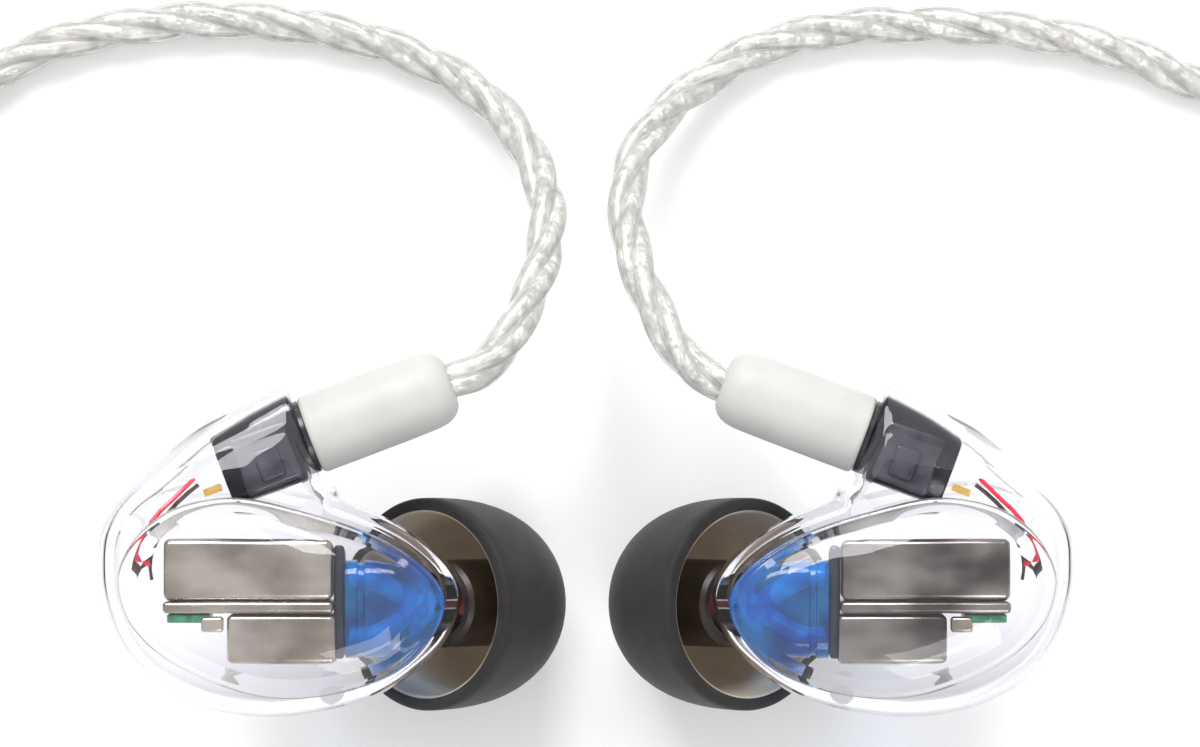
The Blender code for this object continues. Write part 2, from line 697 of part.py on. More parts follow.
def build_hank():
    """The put away cable as one solid, and the strap that ties it."""
    levels = [(HANK_BOTTOM, 1.0), (HANK_BOTTOM + 1.0, 0.0), (HANK_TOP - 1.0, 0.0), (HANK_TOP, 1.0)]
    rings = [
        racetrack(HANK_CENTRE, HANK_LENGTH - 2 * inset, HANK_WIDTH - 2 * inset, z)
        for z, inset in levels
    ]
    add_object("cable_hank", mesh_from_rings("cable_hank", rings), cord_plastic())

    half_width = HANK_WIDTH / 2 + FIT_GAP
    low, high = HANK_BOTTOM - FIT_GAP, HANK_TOP + FIT_GAP
    bm = bmesh.new()
    corners = []
    for y in (-TIE_LENGTH / 2, TIE_LENGTH / 2):
        for grow in (0.0, TIE_THICKNESS):
            corners.append([
                bm.verts.new(Vector((HANK_CENTRE[0] + sx * (half_width + grow),
                                     HANK_CENTRE[1] + y,
                                     z + sz * grow)) * MM)
                for sx, sz, z in ((-1, -1, low), (1, -1, low), (1, 1, high), (-1, 1, high))
            ])
    front_in, front_out, back_in, back_out = corners
    for a, b in ((front_out, front_in), (back_in, back_out), (front_in, back_in),
                 (back_out, front_out)):
        for i in range(4):
            j = (i + 1) % 4
            bm.faces.new((a[i], a[j], b[j], b[i]))
    bmesh.ops.recalc_face_normals(bm, faces=bm.faces)
    mesh = bpy.data.meshes.new("hank_tie")
    bm.to_mesh(mesh)
    bm.free()
    add_object("hank_tie", mesh, strap_fabric())


def build_split():
    """The moulded Y and the chin slider, on the two leads above the hank."""
    wide_end, narrow_end = SPLIT_Y
    rings = []
    for y, half_x, half_z in ((wide_end, 2.75, 1.25), (wide_end + 0.6, 3.0, 1.45),
                              (wide_end + 4.0, 2.9, 1.45), (narrow_end - 1.6, 1.9, 1.45),
                              (narrow_end, 1.6, 1.35)):
        centre = Vector((SPLIT_X, y, TOP_LEAD_HEIGHT)) * MM
        rings.append(rounded_ring(centre, (1, 0, 0), (0, 0, 1), (half_x, half_z), 20, 3.0))
    add_object("y_split", mesh_from_rings("y_split", rings), white_plastic())

    half = SLIDER_LENGTH / 2
    rings = []
    for along, shrink in ((-half, 0.3), (0.3 - half, 0.0), (half - 0.3, 0.0), (half, 0.3)):
        centre = Vector((SPLIT_X, SLIDER_Y + along, TOP_LEAD_HEIGHT)) * MM
        sizes = (3.3 - shrink, 1.9 - shrink)
        rings.append(rounded_ring(centre, (1, 0, 0), (0, 0, 1), sizes, 24, 3.0))
    slider = add_object("chin_slider", mesh_from_rings("chin_slider", rings), white_plastic())
    for name, side in (("slider_hole_left", -1), ("slider_hole_right", 1)):
        middle = Vector((SPLIT_X + side * LEAD_PITCH / 2, SLIDER_Y, TOP_LEAD_HEIGHT)) * MM
        hole = turned(name, [(-SLIDER_LENGTH, 1.3), (SLIDER_LENGTH, 1.3)], middle, (0, 1, 0))
        boolean(slider, add_cutter(name, hole), "DIFFERENCE")


def build_jack():
    """The 3.5 mm plug that lies on the hank, its contacts towards -Y."""
    origin = Vector((JACK_X, JACK_Y, JACK_HEIGHT)) * MM
    forward = Vector((0, -1, 0))
    barrel = JACK_BARREL_RADIUS
    add_object("jack_relief", turned("jack_relief", [
        (-0.4, 1.5), (0.2, 1.75), (5.0, 2.3), (5.7, 2.3),
    ], origin, forward), white_plastic())
    add_object("jack_barrel", turned("jack_barrel", [
        (6.0, barrel - 0.4), (6.5, barrel), (17.0, barrel), (17.6, barrel - 0.4),
        (18.0, barrel - 0.5),
    ], origin, forward, sides=28), white_plastic())
    add_object("jack_sleeve", turned("jack_sleeve", [
        (18.3, JACK_RADIUS), (25.0, JACK_RADIUS), (25.0, 0.95), (18.3, 0.95),
    ], origin, forward, closed=True), gold_plate())
    add_object("jack_ring", turned("jack_ring", [
        (25.9, JACK_RADIUS), (27.6, JACK_RADIUS), (27.6, 0.95), (25.9, 0.95),
    ], origin, forward, closed=True), gold_plate())
    add_object("jack_insulator", turned("jack_insulator", [
        (18.3, 0.65), (25.3, 0.65), (25.3, JACK_RADIUS - 0.1), (25.6, JACK_RADIUS - 0.1),
        (25.6, 0.65), (27.9, 0.65), (27.9, JACK_RADIUS - 0.1), (28.2, JACK_RADIUS - 0.1),
        (28.2, 0.3), (28.3, 0.2),
    ], origin, forward), black_plastic())
    add_object("jack_tip", turned("jack_tip", [
        (28.6, 1.35), (29.1, 1.6), (30.0, 1.65), (30.7, 1.1), (31.3, 1.2), (32.0, 0.5),
        (32.2, 0.15),
    ], origin, forward), gold_plate())


def main():
    for old in list(bpy.data.objects):
        bpy.data.objects.remove(old, do_unlink=True)
    pieces = build_earpiece()
    mirror_earpiece(pieces)
    build_leads()
    build_hank()
    build_split()
    build_jack()


main()
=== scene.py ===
"""The looks of a pair of clear in ear monitors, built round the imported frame.

Everything is in the frame's own coordinates: the pair lies on z = 0 with its faceplates up,
the cable leaves in the +Y direction and its spare length is a tied hank on the -X side.
Sizes below are in millimetres unless a line says otherwise.
"""

import math

import bmesh
import bpy
from mathutils import Matrix, Vector


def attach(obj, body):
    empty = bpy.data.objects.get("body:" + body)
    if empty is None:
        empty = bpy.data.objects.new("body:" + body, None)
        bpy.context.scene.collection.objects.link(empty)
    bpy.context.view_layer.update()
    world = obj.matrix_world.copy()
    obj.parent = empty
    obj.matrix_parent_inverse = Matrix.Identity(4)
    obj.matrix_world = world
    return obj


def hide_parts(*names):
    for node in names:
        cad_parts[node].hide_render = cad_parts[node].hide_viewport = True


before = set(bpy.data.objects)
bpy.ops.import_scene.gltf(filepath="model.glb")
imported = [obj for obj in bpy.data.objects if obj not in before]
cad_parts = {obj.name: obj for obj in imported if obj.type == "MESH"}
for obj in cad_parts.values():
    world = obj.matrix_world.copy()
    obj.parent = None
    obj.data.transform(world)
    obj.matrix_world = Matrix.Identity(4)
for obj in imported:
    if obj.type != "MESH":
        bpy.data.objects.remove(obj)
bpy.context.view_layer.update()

MM = 0.001
FIT_GAP = 0.3
EAR_SPREAD = 0.2
CROWN_HEIGHT = 17.05
LOWER_EDGE = -10.6
WALL = 0.9
SEAM_DEPTH = 2.2
BODY_DEPTH = 10.0
SHELL_CENTRE = (17.7, 8.0)
SHELL_SIDES = 144
PLUG_ANGLE = math.radians(20.6)
PLUG_DEPTH = 5.0
PLUG_MOUTH = (16.4, 16.4)
BOSS_HALF_DEPTH = 2.75
SOCKET_HALF = 1.95
PLUG_SHELL_LENGTH = 9.2
PLUG_SHELL_RADIUS = 2.35
TIP_CENTRE = (9.4, 8.0, 6.5)
TIP_TURN = math.radians(38.3)
TIP_RADIUS = 6.3
TIP_LENGTH = 9.3
TIP_WALL = 0.85
TIP_FULLNESS = 2.75
CORE_START = 1.25
CORE_RADIUS = 2.72
CORE_BORE = 2.0
NOZZLE_RADIUS = 1.7
NOZZLE_BORE = 1.15
NOZZLE_END = 7.6
BARB_RADIUS = 1.85

LEAD_DIAMETER = 2.2
MAIN_DIAMETER = 2.4
LEAD_PITCH = 12.5
MAIN_PITCH = 14.0
# Shares of the cord's radius: a strand's own radius by their number, and the twist's radius.
STRAND_SHARE = {3: 0.6, 4: 0.5}
TWIST_SHARE = 0.46
CORE_SHARE = 0.55                    # of its strand's radius
HANK_MIDDLE = (-52.3, 14.0)
HANK_STRAIGHT = 19.4
TURN_POINTS = 26                     # points along one whole turn
COLUMNS = (7.2, 9.65, 12.1)          # half widths of the hank's turns, inner to outer
LAYERS = (2.0, 4.45, 6.9, 9.35)      # heights of its layers
SPLIT_X = -46.9
TOP_LEAD_HEIGHT = 12.9
SPLIT_Y = (19.0, 28.0)
JACK_X, JACK_Y, JACK_HEIGHT = -57.5, 27.0, 14.6

PLATE_OUTLINE = [
    (27.2, 7.4), (27.0, 9.2), (25.7, 11.1), (23.6, 12.4), (20.2, 12.9), (16.0, 12.0),
    (12.7, 10.9), (10.3, 9.6), (8.7, 8.2), (8.1, 6.8), (8.6, 5.1), (10.3, 3.1),
    (13.0, 1.8), (16.5, 1.15), (20.0, 1.5), (24.0, 3.2), (26.3, 5.2),
]
BODY_OUTLINE = [
    (28.6, 8.8), (28.2, 11.0), (26.8, 12.9), (24.0, 14.1), (20.5, 14.2), (17.0, 13.6),
    (14.0, 12.7), (10.5, 11.1), (8.2, 9.3), (7.2, 7.6), (7.35, 6.1), (8.2, 4.3),
    (9.7, 2.8), (12.0, 1.3), (15.0, 0.4), (18.7, 0.0), (22.5, 0.6), (25.5, 2.1),
    (27.3, 4.0), (28.35, 6.6),
]
BOSS_OUTLINE = [
    (28.6, 8.8), (28.4, 10.9), (27.4, 12.7), (25.6, 14.5), (22.7, 16.9), (20.2, 18.2),
    (17.9, 19.4), (17.3, 19.6), (16.8, 18.9), (15.9, 16.6), (15.2, 14.6), (14.6, 13.9),
    (14.1, 12.8), (10.5, 11.1), (8.2, 9.3), (7.2, 7.6), (7.35, 6.1), (8.2, 4.3),
    (9.7, 2.8), (12.0, 1.3), (15.0, 0.4), (18.7, 0.0), (22.5, 0.6), (25.5, 2.1),
    (27.3, 4.0), (28.35, 6.6),
]
# (depth, size) of the faceplate: crown, then the raised bead round its edge.
PLATE_CROWN = [
    (0.06, 0.02), (0.07, 0.2), (0.1, 0.35), (0.18, 0.5), (0.3, 0.6), (0.45, 0.7), (0.65, 0.8),
    (0.9, 0.88), (1.12, 0.92), (1.32, 0.945), (1.33, 0.96), (1.36, 0.975), (1.5, 0.99),
    (1.75, 1.0), (SEAM_DEPTH, 1.0),
]
BODY_DRAFT = [
    (2.5, 0.965), (3.1, 0.975), (3.9, 0.99), (5.0, 1.0), (6.2, 0.985), (7.2, 0.955),
    (8.1, 0.92), (8.9, 0.84), (9.6, 0.7), (BODY_DEPTH, 0.48),
]

LEFT_ROUTE = [
    (-8.9, 8.69, 12.05), (-7.55, 9.2, 12.05), (-6.25, 9.85, 11.95), (-4.95, 11.1, 11.5),
    (-4.0, 12.8, 10.7),
    (-3.1, 14.8, 9.5), (-2.45, 17.3, 7.7), (-2.4, 19.7, 6.1), (-3.2, 22.2, 4.4),
    (-4.5, 24.4, 3.1), (-6.5, 26.4, 2.0), (-9.2, 28.1, 1.3), (-12.8, 29.5, 1.15),
    (-17.6, 30.5, 1.15), (-23.4, 30.8, 1.15), (-29.2, 30.1, 1.15), (-33.6, 28.8, 1.15),
    (-36.9, 27.0, 1.2),
]
RIGHT_ROUTE = [
    (8.9, 8.69, 12.05), (7.55, 9.2, 12.05), (6.35, 9.85, 11.95), (5.15, 11.3, 11.5),
    (4.1, 13.2, 10.6),
    (3.1, 15.5, 9.3), (2.5, 17.7, 7.8), (2.35, 20.0, 6.3), (2.75, 22.2, 4.8),
    (3.8, 24.1, 3.6), (5.4, 25.9, 2.5), (7.7, 27.6, 1.7), (10.6, 29.2, 1.25),
    (15.2, 30.3, 1.15), (20.6, 30.5, 1.15), (26.5, 30.1, 1.15), (32.0, 28.9, 1.15),
    (36.8, 26.9, 1.15), (40.3, 26.2, 1.15), (43.6, 27.3, 1.15), (45.4, 30.2, 1.15),
    (45.2, 33.5, 1.15), (42.9, 36.2, 1.15), (38.9, 37.2, 1.15), (31.0, 37.0, 1.15),
    (20.0, 36.3, 1.15), (8.0, 36.9, 1.15), (-6.0, 36.3, 1.15), (-20.0, 36.9, 1.15),
    (-33.0, 36.3, 1.15), (-43.2, 36.5, 1.3),
]
# From the top of the hank's left side, round its near end and up through the slider.
LEFT_EXIT = [
    (-61.6, 3.0, 11.9), (-60.0, -1.6, 11.8), (-57.0, -4.8, 11.8), (-53.2, -6.2, 11.9),
    (-50.2, -5.9, 12.3), (-48.5, -4.0, 12.8), (-48.25, -1.5, 12.9), (-48.25, 5.0, 12.9),
    (-48.25, 12.0, 12.9), (-48.25, 18.7, 12.9),
]
RIGHT_EXIT = [
    (-64.0, 3.0, 11.9), (-62.4, -2.4, 11.8), (-58.8, -6.6, 11.8), (-53.6, -8.3, 11.8),
    (-48.9, -7.9, 12.1), (-46.3, -5.9, 12.6), (-45.55, -3.2, 12.9), (-45.55, 3.0, 12.9),
    (-45.55, 11.0, 12.9), (-45.55, 18.7, 12.9),
]
MAIN_START_ROUTE = [
    (SPLIT_X, SPLIT_Y[1] + FIT_GAP, TOP_LEAD_HEIGHT), (-47.3, 30.1, 12.85),
    (-48.5, 31.7, 12.6), (-50.5, 32.4, 12.2),
]
MAIN_END_ROUTE = [
    (-53.9, 34.7, 12.2), (-56.0, 33.4, 12.9), (-57.1, 31.2, 13.8),
    (JACK_X, JACK_Y + 0.7, JACK_HEIGHT),
]


# ---------------------------------------------------------------- camera, stage and light
VIEW_MIDDLE = (0.765, 9.56, 12.0)
VIEW_WIDTH = 70.6
VIEW_DISTANCE = 500.0
FLOOR_GAP = 0.05


def make_camera():
    """Straight above the pair, as far off as a long macro lens stands."""
    data = bpy.data.cameras.new("camera")
    data.sensor_width = 36.0
    data.lens = data.sensor_width * VIEW_DISTANCE / VIEW_WIDTH
    data.clip_start = 0.01
    data.clip_end = 10.0
    camera = bpy.data.objects.new("camera", data)
    x, y, z = VIEW_MIDDLE
    camera.location = Vector((x, y, z + VIEW_DISTANCE)) * MM
    bpy.context.scene.collection.objects.link(camera)
    bpy.context.scene.camera = camera


def make_floor():
    bm = bmesh.new()
    bmesh.ops.create_grid(bm, x_segments=1, y_segments=1, size=2.0)
    mesh = bpy.data.meshes.new("floor")
    bm.to_mesh(mesh)
    bm.free()
    floor = bpy.data.objects.new("floor", mesh)
    floor.location.z = -FLOOR_GAP * MM
    bpy.context.scene.collection.objects.link(floor)
    paint = bpy.data.materials.new("floor_paper")
    paint.use_nodes = True
    shader = paint.node_tree.nodes["Principled BSDF"]
    shader.inputs["Base Color"].default_value = (0.93, 0.93, 0.935, 1)
    shader.inputs["Roughness"].default_value = 0.9
    shader.inputs["Specular IOR Level"].default_value = 0.1
    mesh.materials.append(paint)


def make_light(name, origin, target, size, power):
    data = bpy.data.lights.new(name, "AREA")
    data.shape = "RECTANGLE"
    data.size, data.size_y = size
    data.energy = power
    lamp = bpy.data.objects.new(name, data)
    lamp.location = origin
    aim = Vector(target) - Vector(origin)
    lamp.rotation_euler = aim.to_track_quat("-Z", "Y").to_euler()
    bpy.context.scene.collection.objects.link(lamp)


def make_studio():
    world = bpy.data.worlds.new("studio")
    world.use_nodes = True
    world.node_tree.nodes["Background"].inputs["Color"].default_value = (1.0, 1.0, 1.0, 1)
    world.node_tree.nodes["Background"].inputs["Strength"].default_value = 0.72
    bpy.context.scene.world = world
    make_light("softbox_back", (-0.12, 0.55, 0.5), (0, 0.005, 0), (0.5, 0.3), 5.0)
    make_light("softbox_front", (0.25, -0.5, 0.6), (0, 0.005, 0), (0.35, 0.35), 1.6)
    settings = bpy.context.scene.view_settings
    settings.view_transform = "Standard"
    settings.exposure = 0.12


# ---------------------------------------------------------------- materials
def blank(name):
    """A new material, its node tree and its Principled shader."""
    made = bpy.data.materials.new(name)
    made.use_nodes = True
    tree = made.node_tree
    return made, tree, tree.nodes["Principled BSDF"]


def set_inputs(shader, **values):
    for key, value in values.items():
        shader.inputs[key.replace("_", " ")].default_value = value


def noise(tree, scale, detail=3.0):
    """Noise in object space. Its scale is in features per metre."""
    where = tree.nodes.new("ShaderNodeTexCoord")
    texture = tree.nodes.new("ShaderNodeTexNoise")
    texture.inputs["Scale"].default_value = scale
    texture.inputs["Detail"].default_value = detail
    tree.links.new(where.outputs["Object"], texture.inputs["Vector"])
    return texture.outputs["Fac"]


def stretched_noise(tree, scale, stretch):
    """Noise drawn out along one axis, such as the grain of rolled metal."""
    where = tree.nodes.new("ShaderNodeTexCoord")
    mapping = tree.nodes.new("ShaderNodeMapping")
    mapping.inputs["Scale"].default_value = stretch
    texture = tree.nodes.new("ShaderNodeTexNoise")
    texture.inputs["Scale"].default_value = scale
    tree.links.new(where.outputs["Object"], mapping.inputs["Vector"])
    tree.links.new(mapping.outputs["Vector"], texture.inputs["Vector"])
    return texture.outputs["Fac"]


def ramp(tree, source, low, high):
    """Maps 0 to 1 onto low to high."""
    node = tree.nodes.new("ShaderNodeMapRange")
    node.inputs["From Min"].default_value = 0.3
    node.inputs["From Max"].default_value = 0.7
    node.inputs["To Min"].default_value = low
    node.inputs["To Max"].default_value = high
    tree.links.new(source, node.inputs["Value"])
    return node.outputs["Result"]


def two_colours(tree, source, first, second):
    node = tree.nodes.new("ShaderNodeValToRGB")
    node.color_ramp.elements[0].position = 0.35
    node.color_ramp.elements[0].color = (*first, 1)
    node.color_ramp.elements[1].position = 0.65
    node.color_ramp.elements[1].color = (*second, 1)
    tree.links.new(source, node.inputs["Fac"])
    return node.outputs["Color"]


def bump(tree, shader, height, distance, strength=1.0):
    node = tree.nodes.new("ShaderNodeBump")
    node.inputs["Distance"].default_value = distance
    node.inputs["Strength"].default_value = strength
    tree.links.new(height, node.inputs["Height"])
    tree.links.new(node.outputs["Normal"], shader.inputs["Normal"])


def let_lamps_through(tree, shader, tint=(1, 1, 1), most_turns=4):
    """Clear plastic passes light on to what is inside it, and traps none in its walls."""
    output = next(n for n in tree.nodes if n.type == "OUTPUT_MATERIAL")
    path = tree.nodes.new("ShaderNodeLightPath")
    trapped = tree.nodes.new("ShaderNodeMath")
    trapped.operation = "GREATER_THAN"
    trapped.inputs[1].default_value = most_turns
    tree.links.new(path.outputs["Ray Depth"], trapped.inputs[0])
    either = tree.nodes.new("ShaderNodeMath")
    either.operation = "MAXIMUM"
    tree.links.new(path.outputs["Is Shadow Ray"], either.inputs[0])
    tree.links.new(trapped.outputs["Value"], either.inputs[1])
    clear = tree.nodes.new("ShaderNodeBsdfTransparent")
    clear.inputs["Color"].default_value = (*tint, 1)
    mix = tree.nodes.new("ShaderNodeMixShader")
    tree.links.new(either.outputs["Value"], mix.inputs["Fac"])
    tree.links.new(shader.outputs["BSDF"], mix.inputs[1])
    tree.links.new(clear.outputs["BSDF"], mix.inputs[2])
    tree.links.new(mix.outputs["Shader"], output.inputs["Surface"])


def clear_acrylic(name, painted_edge_shade):
    made, tree, shader = blank(name)
    set_inputs(shader, Roughness=0.02, IOR=1.26, Transmission_Weight=1.0, Coat_Weight=0.5,
               Coat_Roughness=0.03, Coat_IOR=1.5)
    # Painted shade: the colour turns grey where the surface is seen at a grazing angle, standing in
    # for the dark lines that refraction draws along the walls.
    edge = tree.nodes.new("ShaderNodeLayerWeight")
    edge.inputs["Blend"].default_value = 0.4
    tint = tree.nodes.new("ShaderNodeMix")
    tint.data_type = "RGBA"
    tint.inputs["A"].default_value = (0.975, 0.973, 0.985, 1)
    tint.inputs["B"].default_value = (*painted_edge_shade, 1)
    tree.links.new(edge.outputs["Facing"], tint.inputs["Factor"])
    tree.links.new(tint.outputs["Result"], shader.inputs["Base Color"])
    bump(tree, shader, noise(tree, 350, 2.0), 0.00004, 0.25)
    let_lamps_through(tree, shader, (0.95, 0.95, 0.968), 1)
    return made


def blue_acrylic():
    made, tree, shader = blank("blue_acrylic")
    set_inputs(shader, Roughness=0.06, IOR=1.45, Transmission_Weight=0.75)
    colour = two_colours(tree, noise(tree, 420, 2.0), (0.0, 0.07, 0.3), (0.003, 0.3, 0.72))
    tree.links.new(colour, shader.inputs["Base Color"])
    bump(tree, shader, noise(tree, 900, 2.0), 0.00008, 0.3)
    let_lamps_through(tree, shader, (0.35, 0.75, 1.0))
    return made


def silicone_outside():
    made, tree, shader = blank("silicone_outside")
    colour = two_colours(tree, noise(tree, 500, 4.0), (0.015, 0.0135, 0.013),
                         (0.023, 0.021, 0.0195))
    tree.links.new(colour, shader.inputs["Base Color"])
    tree.links.new(ramp(tree, noise(tree, 9000, 4.0), 0.55, 0.75), shader.inputs["Roughness"])
    set_inputs(shader, Specular_IOR_Level=0.3, Sheen_Weight=0.08, Sheen_Roughness=0.5)
    bump(tree, shader, noise(tree, 14000, 4.0), 0.00003, 0.5)
    return made


def silicone_inside():
    made, tree, shader = blank("silicone_inside")
    colour = two_colours(tree, noise(tree, 260, 2.0), (0.36, 0.29, 0.21), (0.5, 0.41, 0.31))
    tree.links.new(colour, shader.inputs["Base Color"])
    # The emission is painted light: a faint brown glow standing in for light that shines through
    # the thin dome wall. The light brown base colour is partly the silicone's own tone and partly
    # that same painted light.
    set_inputs(shader, Roughness=0.32, Subsurface_Weight=0.2, Subsurface_Scale=0.0008,
               Emission_Color=(0.3, 0.23, 0.16, 1), Emission_Strength=0.12)
    bump(tree, shader, noise(tree, 5000, 3.0), 0.00002, 0.4)
    return made


def core_rubber():
    made, tree, shader = blank("core_rubber")
    colour = two_colours(tree, noise(tree, 700, 3.0), (0.016, 0.011, 0.009), (0.035, 0.024, 0.018))
    tree.links.new(colour, shader.inputs["Base Color"])
    set_inputs(shader, Roughness=0.35)
    bump(tree, shader, noise(tree, 8000, 3.0), 0.00002, 0.4)
    return made


def drawn_steel(name, first, second, rough):
    made, tree, shader = blank(name)
    tree.links.new(two_colours(tree, stretched_noise(tree, 210, (1.0, 1.6, 1.0)), first, second),
                   shader.inputs["Base Color"])
    tree.links.new(ramp(tree, noise(tree, 1200, 3.0), rough, rough + 0.1),
                   shader.inputs["Roughness"])
    set_inputs(shader, Metallic=1.0)
    bump(tree, shader, stretched_noise(tree, 4000, (0.1, 4.0, 1.0)), 0.000002, 0.15)
    return made


def black_gloss():
    made, tree, shader = blank("black_gloss")
    colour = two_colours(tree, noise(tree, 900, 3.0), (0.012, 0.012, 0.015), (0.035, 0.034, 0.04))
    tree.links.new(colour, shader.inputs["Base Color"])
    set_inputs(shader, Roughness=0.22)
    bump(tree, shader, noise(tree, 9000, 3.0), 0.000015, 0.5)
    return made


def smoked(name, first, second, through):
    """Tinted plastic that lets a share of the light through."""
    made, tree, shader = blank(name)
    tree.links.new(two_colours(tree, noise(tree, 500, 2.0), first, second),
                   shader.inputs["Base Color"])
    set_inputs(shader, Roughness=0.16, IOR=1.45, Transmission_Weight=through)
    bump(tree, shader, noise(tree, 1500, 3.0), 0.00004, 0.4)
    return made


def gold():
    made, tree, shader = blank("gold")
    colour = two_colours(tree, noise(tree, 1800, 3.0), (0.86, 0.52, 0.14), (0.95, 0.66, 0.28))
    tree.links.new(colour, shader.inputs["Base Color"])
    tree.links.new(ramp(tree, noise(tree, 5000, 4.0), 0.16, 0.3), shader.inputs["Roughness"])
    set_inputs(shader, Metallic=1.0)
    return made


def white_moulding():
    made, tree, shader = blank("white_moulding")
    colour = two_colours(tree, noise(tree, 300, 4.0), (0.5, 0.5, 0.48), (0.54, 0.54, 0.52))
    tree.links.new(colour, shader.inputs["Base Color"])
    tree.links.new(ramp(tree, noise(tree, 6000, 4.0), 0.42, 0.6), shader.inputs["Roughness"])
    set_inputs(shader, Subsurface_Weight=0.15, Subsurface_Scale=0.0006)
    bump(tree, shader, noise(tree, 16000, 3.0), 0.00002, 0.45)
    return made


def clear_jacket():
    made, tree, shader = blank("clear_jacket")
    set_inputs(shader, Base_Color=(0.84, 0.84, 0.825, 1), Roughness=0.1, IOR=1.45,
               Transmission_Weight=0.72)
    bump(tree, shader, noise(tree, 1500, 3.0), 0.00005, 0.4)
    let_lamps_through(tree, shader, (0.88, 0.88, 0.87), 3)
    return made


def silver_strands():
    made, tree, shader = blank("silver_strands")
    colour = two_colours(tree, noise(tree, 1500, 4.0), (0.33, 0.32, 0.3), (0.95, 0.93, 0.88))
    tree.links.new(colour, shader.inputs["Base Color"])
    set_inputs(shader, Metallic=0.9, Roughness=0.25)
    bump(tree, shader, noise(tree, 3500, 4.0), 0.0003, 0.9)
    return made


def solder_mask():
    made, tree, shader = blank("solder_mask")
    colour = two_colours(tree, noise(tree, 2200, 3.0), (0.01, 0.12, 0.06), (0.05, 0.3, 0.16))
    tree.links.new(colour, shader.inputs["Base Color"])
    set_inputs(shader, Roughness=0.3)
    return made


def enamel(name, first, second):
    made, tree, shader = blank(name)
    tree.links.new(two_colours(tree, noise(tree, 1500, 2.0), first, second),
                   shader.inputs["Base Color"])
    set_inputs(shader, Roughness=0.25)
    return made


def felt():
    made, tree, shader = blank("felt")
    colour = two_colours(tree, noise(tree, 9000, 5.0), (0.35, 0.05, 0.04), (0.6, 0.13, 0.1))
    tree.links.new(colour, shader.inputs["Base Color"])
    set_inputs(shader, Roughness=0.95, Sheen_Weight=0.4)
    return made


def woven_strap():
    made, tree, shader = blank("woven_strap")
    where = tree.nodes.new("ShaderNodeTexCoord")
    weave = tree.nodes.new("ShaderNodeTexChecker")
    weave.inputs["Scale"].default_value = 2600
    weave.inputs["Color1"].default_value = (0.03, 0.03, 0.034, 1)
    weave.inputs["Color2"].default_value = (0.07, 0.07, 0.078, 1)
    tree.links.new(where.outputs["Object"], weave.inputs["Vector"])
    tree.links.new(weave.outputs["Color"], shader.inputs["Base Color"])
    set_inputs(shader, Roughness=0.9, Sheen_Weight=0.5)
    bump(tree, shader, weave.outputs["Fac"], 0.00008, 0.8)
    return made


# ---------------------------------------------------------------- mesh helpers
def place(u, d, v):
    """A point of the right earpiece: outward, deep below the crown, above the lower edge."""
    return Vector((u + EAR_SPREAD, v + LOWER_EDGE, CROWN_HEIGHT - d)) * MM


def nozzle_direction():
    return Vector((-math.sin(TIP_TURN), 0.0, -math.cos(TIP_TURN)))


def connector_axes():
    mouth = place(PLUG_MOUTH[0], PLUG_DEPTH, PLUG_MOUTH[1])
    away = Vector((-math.cos(PLUG_ANGLE), math.sin(PLUG_ANGLE), 0))
    return mouth, away, Vector((math.sin(PLUG_ANGLE), math.cos(PLUG_ANGLE), 0))


def frame_along(direction):
    return Vector(direction).normalized().to_track_quat("Z", "Y").to_matrix().to_4x4()


def skin(name, rings, closed=False):
    """Skins rings of equal length. The ends are capped unless the rings close up."""
    bm = bmesh.new()
    rows = [[bm.verts.new(point) for point in ring] for ring in rings]
    pairs = list(zip(rows, rows[1:]))
    if closed:
        pairs.append((rows[-1], rows[0]))
    for low, high in pairs:
        count = len(low)
        for i in range(count):
            j = (i + 1) % count
            bm.faces.new((low[i], low[j], high[j], high[i]))
    if not closed:
        bm.faces.new(rows[0][::-1])
        bm.faces.new(rows[-1])
    bmesh.ops.recalc_face_normals(bm, faces=bm.faces)
    mesh = bpy.data.meshes.new(name)
    bm.to_mesh(mesh)
    bm.free()
    return mesh


def turned(name, profile, origin, direction, sides=64, closed=False):
    """A solid of revolution from (distance along the axis, radius) pairs."""
    matrix = Matrix.Translation(origin) @ frame_along(direction)
    angles = [2 * math.pi * i / sides for i in range(sides)]
    rings = [
        [matrix @ (Vector((r * math.cos(a), r * math.sin(a), along)) * MM) for a in angles]
        for along, r in profile
    ]
    return skin(name, rings, closed)


def box_mesh(name, size, origin, direction, side):
    bm = bmesh.new()
    bmesh.ops.create_cube(bm, size=1.0)
    up, across = Vector(direction).normalized(), Vector(side).normalized()
    turn = Matrix((across, up.cross(across), up)).transposed().to_4x4()
    matrix = Matrix.Translation(origin) @ turn @ Matrix.Diagonal((*[s * MM for s in size], 1.0))
    bmesh.ops.transform(bm, matrix=matrix, verts=bm.verts)
    mesh = bpy.data.meshes.new(name)
    bm.to_mesh(mesh)
    bm.free()
    return mesh


def add_piece(name, mesh, *looks, angle=35):
    for look in looks:
        mesh.materials.append(look)
    made = bpy.data.objects.new(name, mesh)
    bpy.context.scene.collection.objects.link(made)
    mesh.shade_smooth()
    mesh.set_sharp_from_angle(angle=math.radians(angle))
    return made


def cut(target, tool_mesh, operation):
    """Applies a Boolean at once, so that the piece is left with no helper."""
    tool = bpy.data.objects.new("tool", tool_mesh)
    bpy.context.scene.collection.objects.link(tool)
    step = target.modifiers.new("cut", "BOOLEAN")
    step.object, step.operation, step.solver = tool, operation, "EXACT"
    graph = bpy.context.evaluated_depsgraph_get()
    result = bpy.data.meshes.new_from_object(target.evaluated_get(graph))
    target.modifiers.remove(step)
    target.data = result
    bpy.data.objects.remove(tool, do_unlink=True)


def catmull_rom(a, b, c, d, t):
    return 0.5 * (2 * b + (c - a) * t + (2 * a - 5 * b + 4 * c - d) * t ** 2
                  + (3 * b - a - 3 * c + d) * t ** 3)


